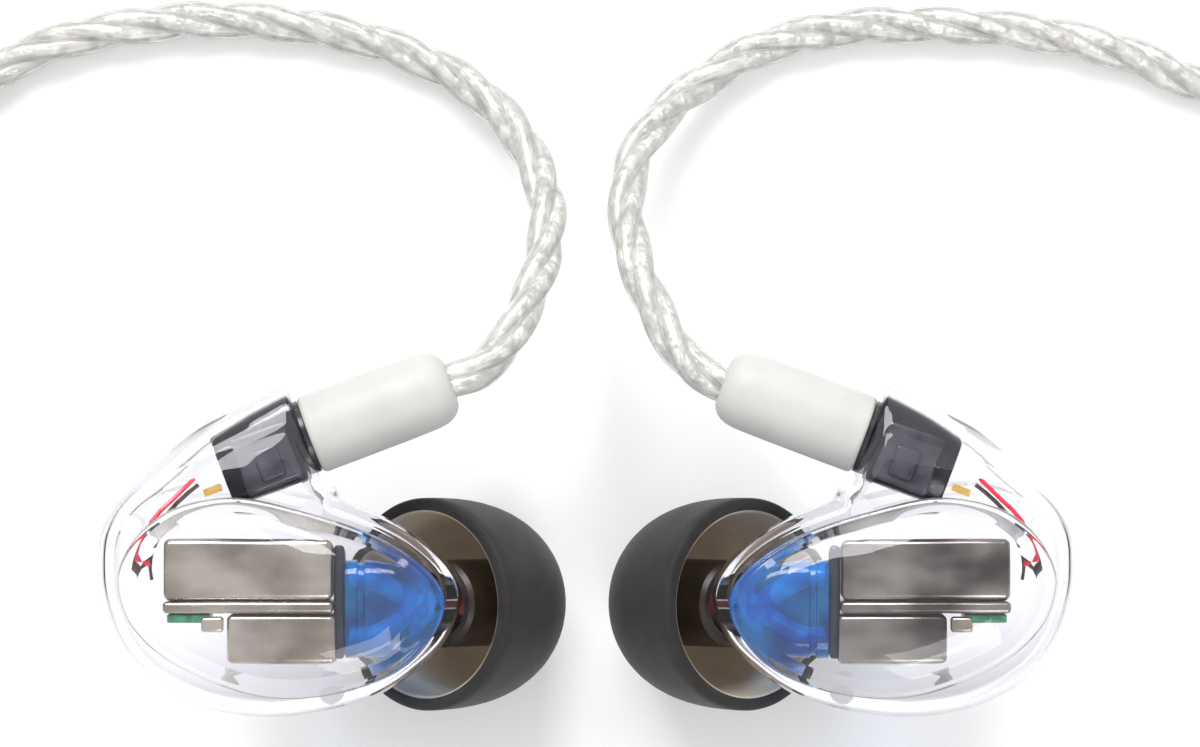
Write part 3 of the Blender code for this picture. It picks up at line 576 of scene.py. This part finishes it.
def smooth_closed(points, steps=24):
    points = [Vector(point) for point in points]
    count = len(points)
    return [
        catmull_rom(points[i - 1], points[i], points[(i + 1) % count], points[(i + 2) % count],
                    step / steps)
        for i in range(count) for step in range(steps)
    ]


def smooth_open(points, spacing):
    """Evenly spaced points on a smooth curve through the points."""
    points = [Vector(point) for point in points]
    points = [2 * points[0] - points[1], *points, 2 * points[-1] - points[-2]]
    steps = 16
    fine = [
        catmull_rom(*points[i - 1:i + 3], step / steps)
        for i in range(1, len(points) - 2) for step in range(steps)
    ]
    fine.append(points[-2])
    lengths = [0.0]
    for a, b in zip(fine, fine[1:]):
        lengths.append(lengths[-1] + (b - a).length)
    count = max(2, round(lengths[-1] / spacing))
    found, at = [], 0
    for i in range(count + 1):
        want = lengths[-1] * i / count
        while at < len(lengths) - 2 and lengths[at + 1] < want:
            at += 1
        share = (want - lengths[at]) / max(1e-9, lengths[at + 1] - lengths[at])
        found.append(fine[at].lerp(fine[at + 1], share))
    return found


# ---------------------------------------------------------------- cords
def hank_point(phase, half_width, height):
    """A point of a turn of the hank. Whole phases are at its far end, heading -X."""
    x, y = HANK_MIDDLE
    straight = HANK_STRAIGHT / 2
    quarter, flank = 0.155, 0.19
    p = phase % 1.0
    if p < quarter:
        angle, end = math.pi / 2 * (1 + p / quarter), 1
    elif p < quarter + flank:
        return (x - half_width, y + straight * (1 - 2 * (p - quarter) / flank), height)
    elif p < 3 * quarter + flank:
        angle, end = math.pi * (1 + (p - quarter - flank) / (2 * quarter)), -1
    elif p < 3 * quarter + 2 * flank:
        share = (p - 3 * quarter - flank) / flank
        return (x + half_width, y + straight * (2 * share - 1), height)
    else:
        angle, end = math.pi / 2 * (p - 1 + quarter) / quarter, 1
    return (x + half_width * math.cos(angle), y + end * straight + half_width * math.sin(angle),
            height)


def hank_turns(stops):
    """Points along turns that pass smoothly through (phase, half width, height) stops."""
    points = []
    for (p0, w0, h0), (p1, w1, h1) in zip(stops, stops[1:]):
        count = max(1, round((p1 - p0) * TURN_POINTS))
        for i in range(count):
            t = i / count
            ease = t * t * (3 - 2 * t)
            points.append(hank_point(p0 + (p1 - p0) * t, w0 + (w1 - w0) * ease,
                                     h0 + (h1 - h0) * ease))
    points.append(hank_point(*stops[-1]))
    return points


def left_path():
    inner, outer = COLUMNS[1], COLUMNS[2]
    turns = hank_turns([
        (0.93, outer, LAYERS[1]), (1.7, outer, LAYERS[1]), (2.0, outer, LAYERS[2]),
        (2.8, outer, LAYERS[2]), (3.12, inner, 12.3), (3.3, inner, 12.6),
    ])
    bridge = [(-40.4, 27.6, 2.6)]
    return [*LEFT_ROUTE, *bridge, *turns, *LEFT_EXIT]


def right_path():
    outer = COLUMNS[2]
    turns = hank_turns([
        (0.0, outer, LAYERS[0]), (0.8, outer, LAYERS[0]), (1.12, outer, 12.3),
        (1.3, outer, 12.6),
    ])
    return [*RIGHT_ROUTE, *turns, *RIGHT_EXIT]


def main_path():
    inner, middle, outer = COLUMNS
    slot = 4.9
    one, two, three, four = LAYERS
    turns = hank_turns([
        (0.06, slot + 1.6, 11.6), (0.3, slot, 9.0), (0.75, slot, 3.5), (1.0, slot + 1.0, one),
        (1.15, middle, one), (2.0, middle, one), (2.15, inner, one), (3.0, inner, one),
        (3.15, inner, two), (4.0, inner, two), (4.15, middle, two), (5.0, middle, two),
        (5.15, middle, three), (6.0, middle, three), (6.15, inner, three), (7.0, inner, three),
        (7.15, inner, four), (8.0, inner, four), (8.15, middle, four), (9.0, middle, four),
        (9.15, outer, four), (9.8, outer, four), (9.95, outer - 0.6, 11.2),
    ])
    return [*MAIN_START_ROUTE, *turns, *MAIN_END_ROUTE]


def path_frames(path):
    """(point, side, up) along the path, turning as little as possible."""
    frames = []
    side = Vector((0, 0, 1))
    for i, point in enumerate(path):
        ahead = path[min(i + 1, len(path) - 1)] - path[max(i - 1, 0)]
        ahead.normalize()
        side = (side - ahead * side.dot(ahead)).normalized()
        frames.append((point, side.copy(), ahead.cross(side)))
    return frames


def twisted(name, path, spacing, strands, strand_radius, helix_radius, pitch, sides):
    """Strands that wind round the path, as one mesh. Lengths are in millimetres."""
    bm = bmesh.new()
    frames = path_frames(path)
    for strand in range(strands):
        centres = []
        for i, (point, side, up) in enumerate(frames):
            angle = 2 * math.pi * (i * spacing / pitch + strand / strands)
            centres.append(point + (side * math.cos(angle) + up * math.sin(angle)) * helix_radius)
        previous = None
        for i, (centre, side, up) in enumerate(path_frames(centres)):
            ring = []
            for k in range(sides):
                a = 2 * math.pi * k / sides
                offset = side * math.cos(a) + up * math.sin(a)
                ring.append(bm.verts.new((centre + offset * strand_radius) * MM))
            if previous:
                for k in range(sides):
                    j = (k + 1) % sides
                    bm.faces.new((previous[k], previous[j], ring[j], ring[k]))
            else:
                bm.faces.new(ring[::-1])
            previous = ring
        bm.faces.new(previous)
    mesh = bpy.data.meshes.new(name)
    bm.to_mesh(mesh)
    bm.free()
    return mesh


def make_cord(name, points, spacing, strands, diameter, pitch, sides, looks):
    """The clear jackets of a twisted cord, and the silver strands inside them."""
    lowest = diameter / 2 + 0.1
    path = [Vector((p.x, p.y, max(p.z, lowest))) for p in smooth_open(points, spacing)]
    step = sum((b - a).length for a, b in zip(path, path[1:])) / (len(path) - 1)
    radius = diameter / 2
    strand = radius * STRAND_SHARE[strands]
    helix = radius * TWIST_SHARE
    jackets = add_piece(name, twisted(f"{name}_jackets", path, step, strands, strand, helix,
                                      pitch, sides), looks[0], angle=80)
    cores = add_piece(f"{name}_strands", twisted(f"{name}_strands", path, step, strands,
                                                 strand * CORE_SHARE, helix, pitch, 8),
                      looks[1], angle=80)
    length = step * (len(path) - 1) * MM
    return jackets, cores, [point * MM for point in path], length


def make_cords(looks):
    made = {}
    # name, path, spacing of its points, strands, diameter, pitch of the twist, sides
    cases = (
        ("left_cord", left_path(), 0.45, 3, LEAD_DIAMETER, LEAD_PITCH, 12),
        ("right_cord", right_path(), 0.45, 3, LEAD_DIAMETER, LEAD_PITCH, 12),
        ("main_cord", main_path(), 0.9, 4, MAIN_DIAMETER, MAIN_PITCH, 8),
    )
    for name, points, spacing, strands, diameter, pitch, sides in cases:
        jackets, cores, path, length = make_cord(name, points, spacing, strands, diameter,
                                                 pitch, sides, looks)
        for piece in (jackets, cores):
            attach(piece, "cable")
        made[name] = (jackets, cores, path, length, diameter)
        print(name, "length", round(length, 4))
    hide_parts("left_lead", "left_lead_end")
    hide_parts("right_lead", "right_lead_end")
    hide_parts("main_lead_start", "main_lead_end", "cable_hank")
    return made


# ---------------------------------------------------------------- shells
def radii(outline):
    """The outline's distance from the shell's centre at evenly spaced angles."""
    centre = Vector(SHELL_CENTRE)
    polar = []
    for point in smooth_closed(outline):
        arm = point - centre
        polar.append((math.atan2(arm.y, arm.x) % (2 * math.pi), arm.length))
    polar.sort()
    polar = [(polar[-1][0] - 2 * math.pi, polar[-1][1]), *polar,
             (polar[0][0] + 2 * math.pi, polar[0][1])]
    found, at = [], 0
    for i in range(SHELL_SIDES):
        angle = 2 * math.pi * i / SHELL_SIDES
        while polar[at + 1][0] < angle:
            at += 1
        (low, near), (high, far) = polar[at], polar[at + 1]
        found.append(near + (far - near) * (angle - low) / (high - low))
    return found


def shell_ring(distances, depth):
    count = len(distances)
    return [
        place(SHELL_CENTRE[0] + r * math.cos(2 * math.pi * i / count), depth,
              SHELL_CENTRE[1] + r * math.sin(2 * math.pi * i / count))
        for i, r in enumerate(distances)
    ]


def smooth_profile(stops, steps=4):
    """The same profile with more stops, on a smooth curve through them."""
    points = [Vector(stop) for stop in stops]
    points = [2 * points[0] - points[1], *points, 2 * points[-1] - points[-2]]
    fine = [
        catmull_rom(*points[i - 1:i + 3], step / steps)
        for i in range(1, len(points) - 2) for step in range(steps)
    ]
    return [*fine, points[-2]]


def body_distances(plain, boss, depth, size, inset=0.0):
    reach = (depth - PLUG_DEPTH) / BOSS_HALF_DEPTH
    swell = math.sqrt(max(0.0, 1 - reach * reach))
    return [p * size + max(0.0, b - p * size) * swell - inset for p, b in zip(plain, boss)]


def faceplate_mesh():
    edge = radii(PLATE_OUTLINE)
    outer = [shell_ring([r * s for r in edge], d) for d, s in PLATE_CROWN]
    inner = [
        shell_ring([max(0.1, r * s - WALL * min(1.0, 2 * s)) for r in edge],
                   min(d + WALL, SEAM_DEPTH))
        for d, s in PLATE_CROWN[:12]
    ]
    inner.append(shell_ring([r - WALL for r in edge], SEAM_DEPTH))
    return skin("faceplate", [*outer, *reversed(inner)])


def body_mesh():
    plain, boss = radii(BODY_OUTLINE), radii(BOSS_OUTLINE)
    draft = smooth_profile(BODY_DRAFT)
    outer = [shell_ring(body_distances(plain, boss, d, s), d) for d, s in draft]
    outer.append(shell_ring([p * 0.2 for p in plain], BODY_DEPTH + 0.02))
    inner = [
        shell_ring(body_distances(plain, boss, d, s, WALL), d) for d, s in draft
        if d < BODY_DEPTH - 1.3
    ]
    last = BODY_DEPTH - WALL
    inner.append(shell_ring(body_distances(plain, boss, last - 0.1, 0.78, WALL), last - 0.1))
    inner.append(shell_ring(body_distances(plain, boss, last, 0.5, WALL), last))
    inner.append(shell_ring([p * 0.1 for p in plain], last + 0.02))
    return skin("body", [*reversed(outer), *inner])


def make_body(look):
    shell = add_piece("body_glass", body_mesh(), look, angle=30)
    mouth, away, upright = connector_axes()
    tip, along = place(*TIP_CENTRE), nozzle_direction()
    root = NOZZLE_RADIUS + 0.25
    cut(shell, turned("nozzle", [
        (-0.5, root), (1.6, root), (2.0, NOZZLE_RADIUS), (NOZZLE_END - 1.6, NOZZLE_RADIUS),
        (NOZZLE_END - 1.2, BARB_RADIUS), (NOZZLE_END, NOZZLE_RADIUS - 0.2),
    ], tip, along, 48), "UNION")
    cut(shell, turned("bore", [(-5.0, NOZZLE_BORE), (NOZZLE_END + 1, NOZZLE_BORE)], tip, along,
                      40), "DIFFERENCE")
    cut(shell, box_mesh("trim", (6.6, 9.0, 5.0), mouth + away * 2.5 * MM, away, upright),
        "DIFFERENCE")
    cut(shell, collar_mesh("pocket", 0.04, 1.0), "DIFFERENCE")
    shell.data.shade_smooth()
    shell.data.set_sharp_from_angle(angle=math.radians(30))
    return shell


def posts_mesh():
    """The three moulded pegs that line the faceplate up with the body."""
    bm = bmesh.new()
    for u, v in ((26.5, 11.2), (15.9, 12.1), (14.8, 1.45)):
        matrix = Matrix.Translation(place(u, 4.2, v))
        bmesh.ops.create_cone(bm, cap_ends=True, segments=32, radius1=0.72 * MM,
                              radius2=0.66 * MM, depth=3.8 * MM, matrix=matrix)
    mesh = bpy.data.meshes.new("posts")
    bm.to_mesh(mesh)
    bm.free()
    return mesh


# ---------------------------------------------------------------- ear tip, manifold and plug
def dome_radius(along):
    share = max(0.0, 1 - (along / TIP_LENGTH) ** TIP_FULLNESS)
    return TIP_RADIUS * share ** (1 / TIP_FULLNESS)


def dome_mesh():
    stops = [0.0, 0.12, 0.8, 1.6, 2.4, 3.2, 4.0, 4.8, 5.5, 6.2, 6.8, 7.3, 7.7, 8.1, 8.4, 8.7, 8.9,
             9.05, 9.15]
    neck = CORE_RADIUS - 0.1
    outer = [(s, dome_radius(s) - (0.12 if s == 0 else 0.0)) for s in stops]
    outer = [(s, r) for s, r in outer if r > neck + 0.05]
    inner = [(s, dome_radius(s * TIP_LENGTH / (TIP_LENGTH - TIP_WALL)) - TIP_WALL)
             for s in stops[:-3]]
    inner = [(s, r + (0.12 if s == 0 else 0.0)) for s, r in inner if r > neck + 0.2]
    profile = [*outer, (9.2, neck), (inner[-1][0] + 0.25, neck), *reversed(inner)]
    mesh = turned("dome", profile, place(*TIP_CENTRE), nozzle_direction(), 96, closed=True)
    first_inner = (len(outer) + 1) * 96
    for face in mesh.polygons:
        face.material_index = int(min(face.vertices) >= first_inner)
    return mesh


def core_mesh():
    end = TIP_LENGTH - 0.15
    profile = [
        (CORE_START, CORE_RADIUS - 0.35), (CORE_START + 0.25, CORE_RADIUS - 0.12),
        (end - 0.3, CORE_RADIUS - 0.12), (end, CORE_RADIUS - 0.45),
        (end, CORE_BORE), (CORE_START, CORE_BORE),
    ]
    return turned("core", profile, place(*TIP_CENTRE), nozzle_direction(), 64, closed=True)


def rounded_ring(centre, across, upright, half_sizes, sides, squareness):
    ring = []
    power = 2 / squareness
    for i in range(sides):
        angle = 2 * math.pi * i / sides
        c, s = math.cos(angle), math.sin(angle)
        along = half_sizes[0] * math.copysign(abs(c) ** power, c)
        up = half_sizes[1] * math.copysign(abs(s) ** power, s)
        ring.append(centre + (Vector(across) * along + Vector(upright) * up) * MM)
    return ring


def manifold_mesh():
    """The blue block: it fills the narrow end of the shell and runs down into the nozzle."""
    along, tip = nozzle_direction(), place(*TIP_CENTRE)
    square = Vector((0, 0, -1))
    slanted = Vector((math.cos(TIP_TURN), 0, -math.sin(TIP_TURN)))
    block = [
        (14.0, 1.9, 2.8), (13.95, 2.0, 2.95), (13.3, 2.05, 3.0), (13.22, 1.85, 2.8),
        (12.9, 1.85, 2.8), (12.82, 2.05, 3.0), (12.0, 2.1, 3.0), (11.2, 2.1, 2.95),
        (10.5, 2.05, 2.8), (9.9, 1.95, 2.5), (9.4, 1.8, 2.1), (9.0, 1.6, 1.6), (8.75, 1.3, 1.1),
        (8.65, 0.9, 0.6),
    ]
    rings = [rounded_ring(place(u, 5.3, 6.3), square, (0, 1, 0), (deep, wide), 56, 4.0)
             for u, deep, wide in block]
    spout = [
        rounded_ring(tip + along * at * MM, slanted, (0, 1, 0), (size, size), 56, 2.0)
        for at, size in ((-3.4, 1.6), (-2.6, 1.5), (-1.8, 1.2), (-0.9, 0.85), (0.3, 0.85))
    ]
    bm = bmesh.new()
    for part in (skin("block", rings), skin("spout", spout)):
        bm.from_mesh(part)
        bpy.data.meshes.remove(part)
    mesh = bpy.data.meshes.new("manifold")
    bm.to_mesh(mesh)
    bm.free()
    return mesh


def ducts_mesh():
    """The two sound ducts moulded in the blue block, one from each driver."""
    bm = bmesh.new()
    for v, start in ((8.2, 13.7), (4.7, 13.7)):
        path = smooth_open([(start, 4.6, v), (12.6, 4.6, v), (11.2, 5.0, 0.6 * v + 2.5),
                            (9.9, 5.8, 6.4)], 0.25)
        points = [place(*point) for point in path]
        rows = []
        for point, side, up in path_frames(points):
            rows.append([point + (side * math.cos(a) + up * math.sin(a)) * 0.62 * MM
                         for a in (2 * math.pi * i / 20 for i in range(20))])
        part = skin("duct", rows)
        bm.from_mesh(part)
        bpy.data.meshes.remove(part)
    mesh = bpy.data.meshes.new("ducts")
    bm.to_mesh(mesh)
    bm.free()
    return mesh


# ---------------------------------------------------------------- drivers and socket
def ear_box(name, u, d, v, corner):
    """A box with rounded edges between two values of each of u, d and v."""
    low, high = place(u[0], d[1], v[0]), place(u[1], d[0], v[1])
    return rounded_box(name, (high - low) / MM, (low + high) / 2, (0, 0, 1), (1, 0, 0), corner)


def rounded_box(name, size, origin, direction, side, corner):
    bm = bmesh.new()
    bm.from_mesh(box_mesh("blank", size, origin, direction, side))
    bmesh.ops.bevel(bm, geom=bm.edges[:], offset=corner * MM, segments=5, profile=0.5,
                    affect="EDGES")
    mesh = bpy.data.meshes.new(name)
    bm.to_mesh(mesh)
    bm.free()
    return mesh


def collar_mesh(name, grow, beyond):
    """The dark filling round the socket, or a larger copy of it to cut its pocket with."""
    mouth, away, upright = connector_axes()
    rings = []
    for along, top, bottom, deep in (
        (beyond, 2.75, 2.35, 1.85), (-0.01, 2.75, 2.35, 1.85), (-0.12, 2.85, 2.42, 1.92),
        (-2.6, 2.5, 2.42, 1.92), (-5.0, 1.98, 2.38, 1.92), (-5.2, 1.85, 2.25, 1.8),
    ):
        centre = mouth + (away * along + upright * (top - bottom) / 2) * MM
        rings.append(rounded_ring(centre, upright, (0, 0, 1),
                                  ((top + bottom) / 2 + grow, deep + grow), 72, 3.0))
    return skin(name, rings)


def socket_boxes():
    """The smoked collar round the coaxial socket, its block and the pad on the block."""
    mouth, away, upright = connector_axes()
    up = Vector((0, 0, 1))
    collar = collar_mesh("collar", 0.0, 0.0)
    block = rounded_box("block", (3.5, 2 * SOCKET_HALF, 3.6),
                        mouth - (away * 2.5 + upright * 0.35) * MM, away, upright, 0.3)
    pad = rounded_box("pad", (1.9, 0.5, 1.5),
                      mouth - (away * 2.4 + upright * 0.7 - up * SOCKET_HALF) * MM, away, upright,
                      0.2)
    return collar, block, pad


def plug_shell_mesh():
    mouth, away, _ = connector_axes()
    length, radius = PLUG_SHELL_LENGTH, PLUG_SHELL_RADIUS
    profile = [
        (0.3, radius - 0.3), (0.34, radius - 0.16), (0.42, radius - 0.06), (0.6, radius),
        (length * 0.3, radius), (length * 0.55, radius - 0.01), (length * 0.75, radius - 0.03),
        (length - 1.5, radius - 0.06), (length - 1.0, radius - 0.14),
        (length - 0.65, radius - 0.27), (length - 0.35, radius - 0.48),
        (length - 0.14, radius - 0.75), (length - 0.03, radius - 1.0), (length, radius - 1.25),
    ]
    return turned("plug_shell", profile, mouth, away, 72)


def gasket_mesh():
    """The thin dark ring between the white connector and the shell."""
    mouth, away, _ = connector_axes()
    radius = PLUG_SHELL_RADIUS - 0.15
    profile = [(0.03, radius), (0.27, radius), (0.27, 1.0), (0.03, 1.0)]
    return turned("gasket", profile, mouth, away, 72, closed=True)


def strap_mesh():
    """The hank's strap: a closed band with soft corners round the bundle."""
    def ring(y, grow):
        centre = Vector((HANK_MIDDLE[0], y, 5.72)) * MM
        return rounded_ring(centre, (1, 0, 0), (0, 0, 1), (13.6 + grow, 5.22 + grow), 160, 10.0)

    rows = [(11.0, 0.05), (11.0, 0.43), (11.08, 0.48), (16.92, 0.48), (17.0, 0.43), (17.0, 0.05),
            (16.92, 0.0), (11.08, 0.0)]
    return skin("strap", [ring(y, grow) for y, grow in rows], closed=True)


def make_earpiece(looks):
    """The right earpiece's new pieces: (name, piece, body, slot, replaced node)."""
    collar, block, pad = socket_boxes()
    made = []

    def add(name, mesh, names, slot, node=None, body="earpiece", angle=35):
        piece = add_piece(name, mesh, *(looks[look] for look in names), angle=angle)
        made.append((name, piece, body, slot, node))

    add("faceplate_glass", faceplate_mesh(), ("clear",), "clear_shell", "faceplate", angle=40)
    made.append(("body_glass", make_body(looks["clear"]), "earpiece", "clear_shell",
                 "body_shell"))
    add("shell_posts", posts_mesh(), ("posts",), "clear_shell")
    add("manifold", manifold_mesh(), ("blue",), "blue_manifold", "acoustic_manifold", angle=30)
    add("dome", dome_mesh(), ("tip_out", "tip_in"), "tip_silicone", "tip_dome", "tip", 60)
    add("core", core_mesh(), ("core",), "tip_core", "tip_core", "tip", 40)
    add("connector", plug_shell_mesh(), ("white",), "white_plastic", "plug_shell", "cable", 50)
    add("gasket", gasket_mesh(), ("black",), "black_plastic", None, "cable", 40)
    add("ducts", ducts_mesh(), ("cyan",), "blue_manifold")
    # name, u, d, v, corner, look, slot, replaced node
    # The cans' darker steel is painted shade; the mirrored left earpiece gets the lighter,
    # painted-reflection tone.
    for name, u, d, v, corner, look, slot, node in (
        ("cup", (14.7, 24.6), (2.7, 8.0), (6.85, 10.5), 0.4, "steel_shaded", "driver_steel",
         "woofer_cup"),
        ("lid", (14.66, 24.64), (2.66, 8.0), (6.1, 6.8), 0.24, "steel_shaded", "driver_steel",
         "woofer_lid"),
        ("small_can", (14.5, 20.9), (2.9, 6.8), (3.1, 6.02), 0.35, "steel_shaded",
         "driver_steel", "tweeter_can"),
        ("boot", (14.02, 14.64), (3.3, 7.4), (3.4, 10.2), 0.25, "boot", "black_plastic",
         "driver_boot"),
        ("board", (21.9, 24.4), (3.0, 6.6), (5.55, 6.03), 0.08, "board", "circuit_board",
         "crossover_board"),
        ("tab", (21.1, 22.4), (2.8, 3.6), (5.0, 5.9), 0.2, "steel_lit", "driver_steel", None),
    ):
        add(name, ear_box(name, u, d, v, corner), (look,), slot, node)
    add("collar", collar, ("smoke_dark",), "black_plastic")
    add("block", block, ("smoke",), "black_plastic", "socket_block")
    add("pad", pad, ("smoke",), "black_plastic")
    return made


def mirror_mesh(mesh):
    copy = mesh.copy()
    copy.transform(Matrix.Scale(-1, 4, Vector((1, 0, 0))))
    copy.flip_normals()
    return copy


def place_earpieces(looks):
    made = make_earpiece(looks)
    for name, piece, body, slot, node in made:
        mirrored = bpy.data.objects.new(f"left_{name}", mirror_mesh(piece.data))
        # The left earpiece swaps the darker painted-shade steel for the lighter tone, a painted
        # bright reflection.
        for index, look in enumerate(mirrored.data.materials):
            if look == looks["steel_shaded"]:
                mirrored.data.materials[index] = looks["steel_lit"]
        bpy.context.scene.collection.objects.link(mirrored)
        piece.name = f"right_{name}"
        for side, each in (("right", piece), ("left", mirrored)):
            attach(each, body if body == "cable" else f"{side}_{body}")
            if node:
                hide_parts(f"{side}_{node}")


# ---------------------------------------------------------------- CAD nodes and small pieces
def repaint(node, look):
    """Gives a CAD node its finish."""
    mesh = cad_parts[node].data
    mesh.materials.clear()
    mesh.materials.append(look)
    mesh.shade_smooth()
    mesh.set_sharp_from_angle(angle=math.radians(40))


def finish_nodes(looks):
    """The CAD nodes that keep their own shape."""
    for side in ("left", "right"):
        for node, look in (
            ("acoustic_damper", "felt"), ("nozzle_screen", "steel_lit"),
            ("socket_contact", "gold"), ("socket_terminal", "gold"), ("wire_red", "red"),
            ("wire_dark", "dark"), ("plug_nose", "steel_lit"), ("plug_pin", "gold"),
            ("snap_ring", "steel_lit"),
        ):
            repaint(f"{side}_{node}", looks[look])
    for node, look in (
        ("jack_sleeve", "gold"), ("jack_ring", "gold"), ("jack_tip", "gold"),
        ("jack_insulator", "black"), ("jack_barrel", "white"), ("jack_relief", "white"),
        ("y_split", "white"), ("chin_slider", "white"),
    ):
        repaint(node, looks[look])


def make_looks():
    return {
        # The second colour of each clear plastic is painted shade at its grazing edges.
        "clear": clear_acrylic("clear_acrylic", (0.34, 0.34, 0.37)),
        "posts": clear_acrylic("clear_posts", (0.12, 0.12, 0.14)), "blue": blue_acrylic(),
        "tip_out": silicone_outside(),
        "tip_in": silicone_inside(), "core": core_rubber(), "black": black_gloss(),
        "smoke": smoked("smoke", (0.035, 0.033, 0.045), (0.085, 0.08, 0.1), 0.2),
        "smoke_dark": smoked("smoke_dark", (0.004, 0.004, 0.006), (0.02, 0.02, 0.028), 0.1),
        "boot": smoked("boot", (0.01, 0.014, 0.03), (0.03, 0.035, 0.06), 0.3),
        "cyan": smoked("cyan", (0.01, 0.26, 0.6), (0.06, 0.55, 0.9), 0.3),
        "gold": gold(), "white": white_moulding(),
        # The two drawn steels are one metal in two tones of painted light: the lighter one is a
        # painted bright reflection, the darker one, on the right earpiece's cans, is painted shade.
        "steel_lit": drawn_steel("steel_lit", (0.3, 0.26, 0.21), (0.62, 0.57, 0.49), 0.2),
        "steel_shaded": drawn_steel("steel_shaded", (0.075, 0.06, 0.055), (0.4, 0.37, 0.34), 0.16),
        "board": solder_mask(), "red": enamel("red_enamel", (0.55, 0.01, 0.03), (0.75, 0.03, 0.06)),
        "dark": enamel("dark_enamel", (0.03, 0.015, 0.015), (0.08, 0.04, 0.04)),
        "felt": felt(), "strap": woven_strap(),
    }


def main():
    make_camera()
    make_floor()
    make_studio()
    looks = make_looks()
    cords = make_cords((clear_jacket(), silver_strands()))
    place_earpieces(looks)
    finish_nodes(looks)
    strap = add_piece("strap", strap_mesh(), looks["strap"], angle=50)
    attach(strap, "cable")
    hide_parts("hank_tie")


main()
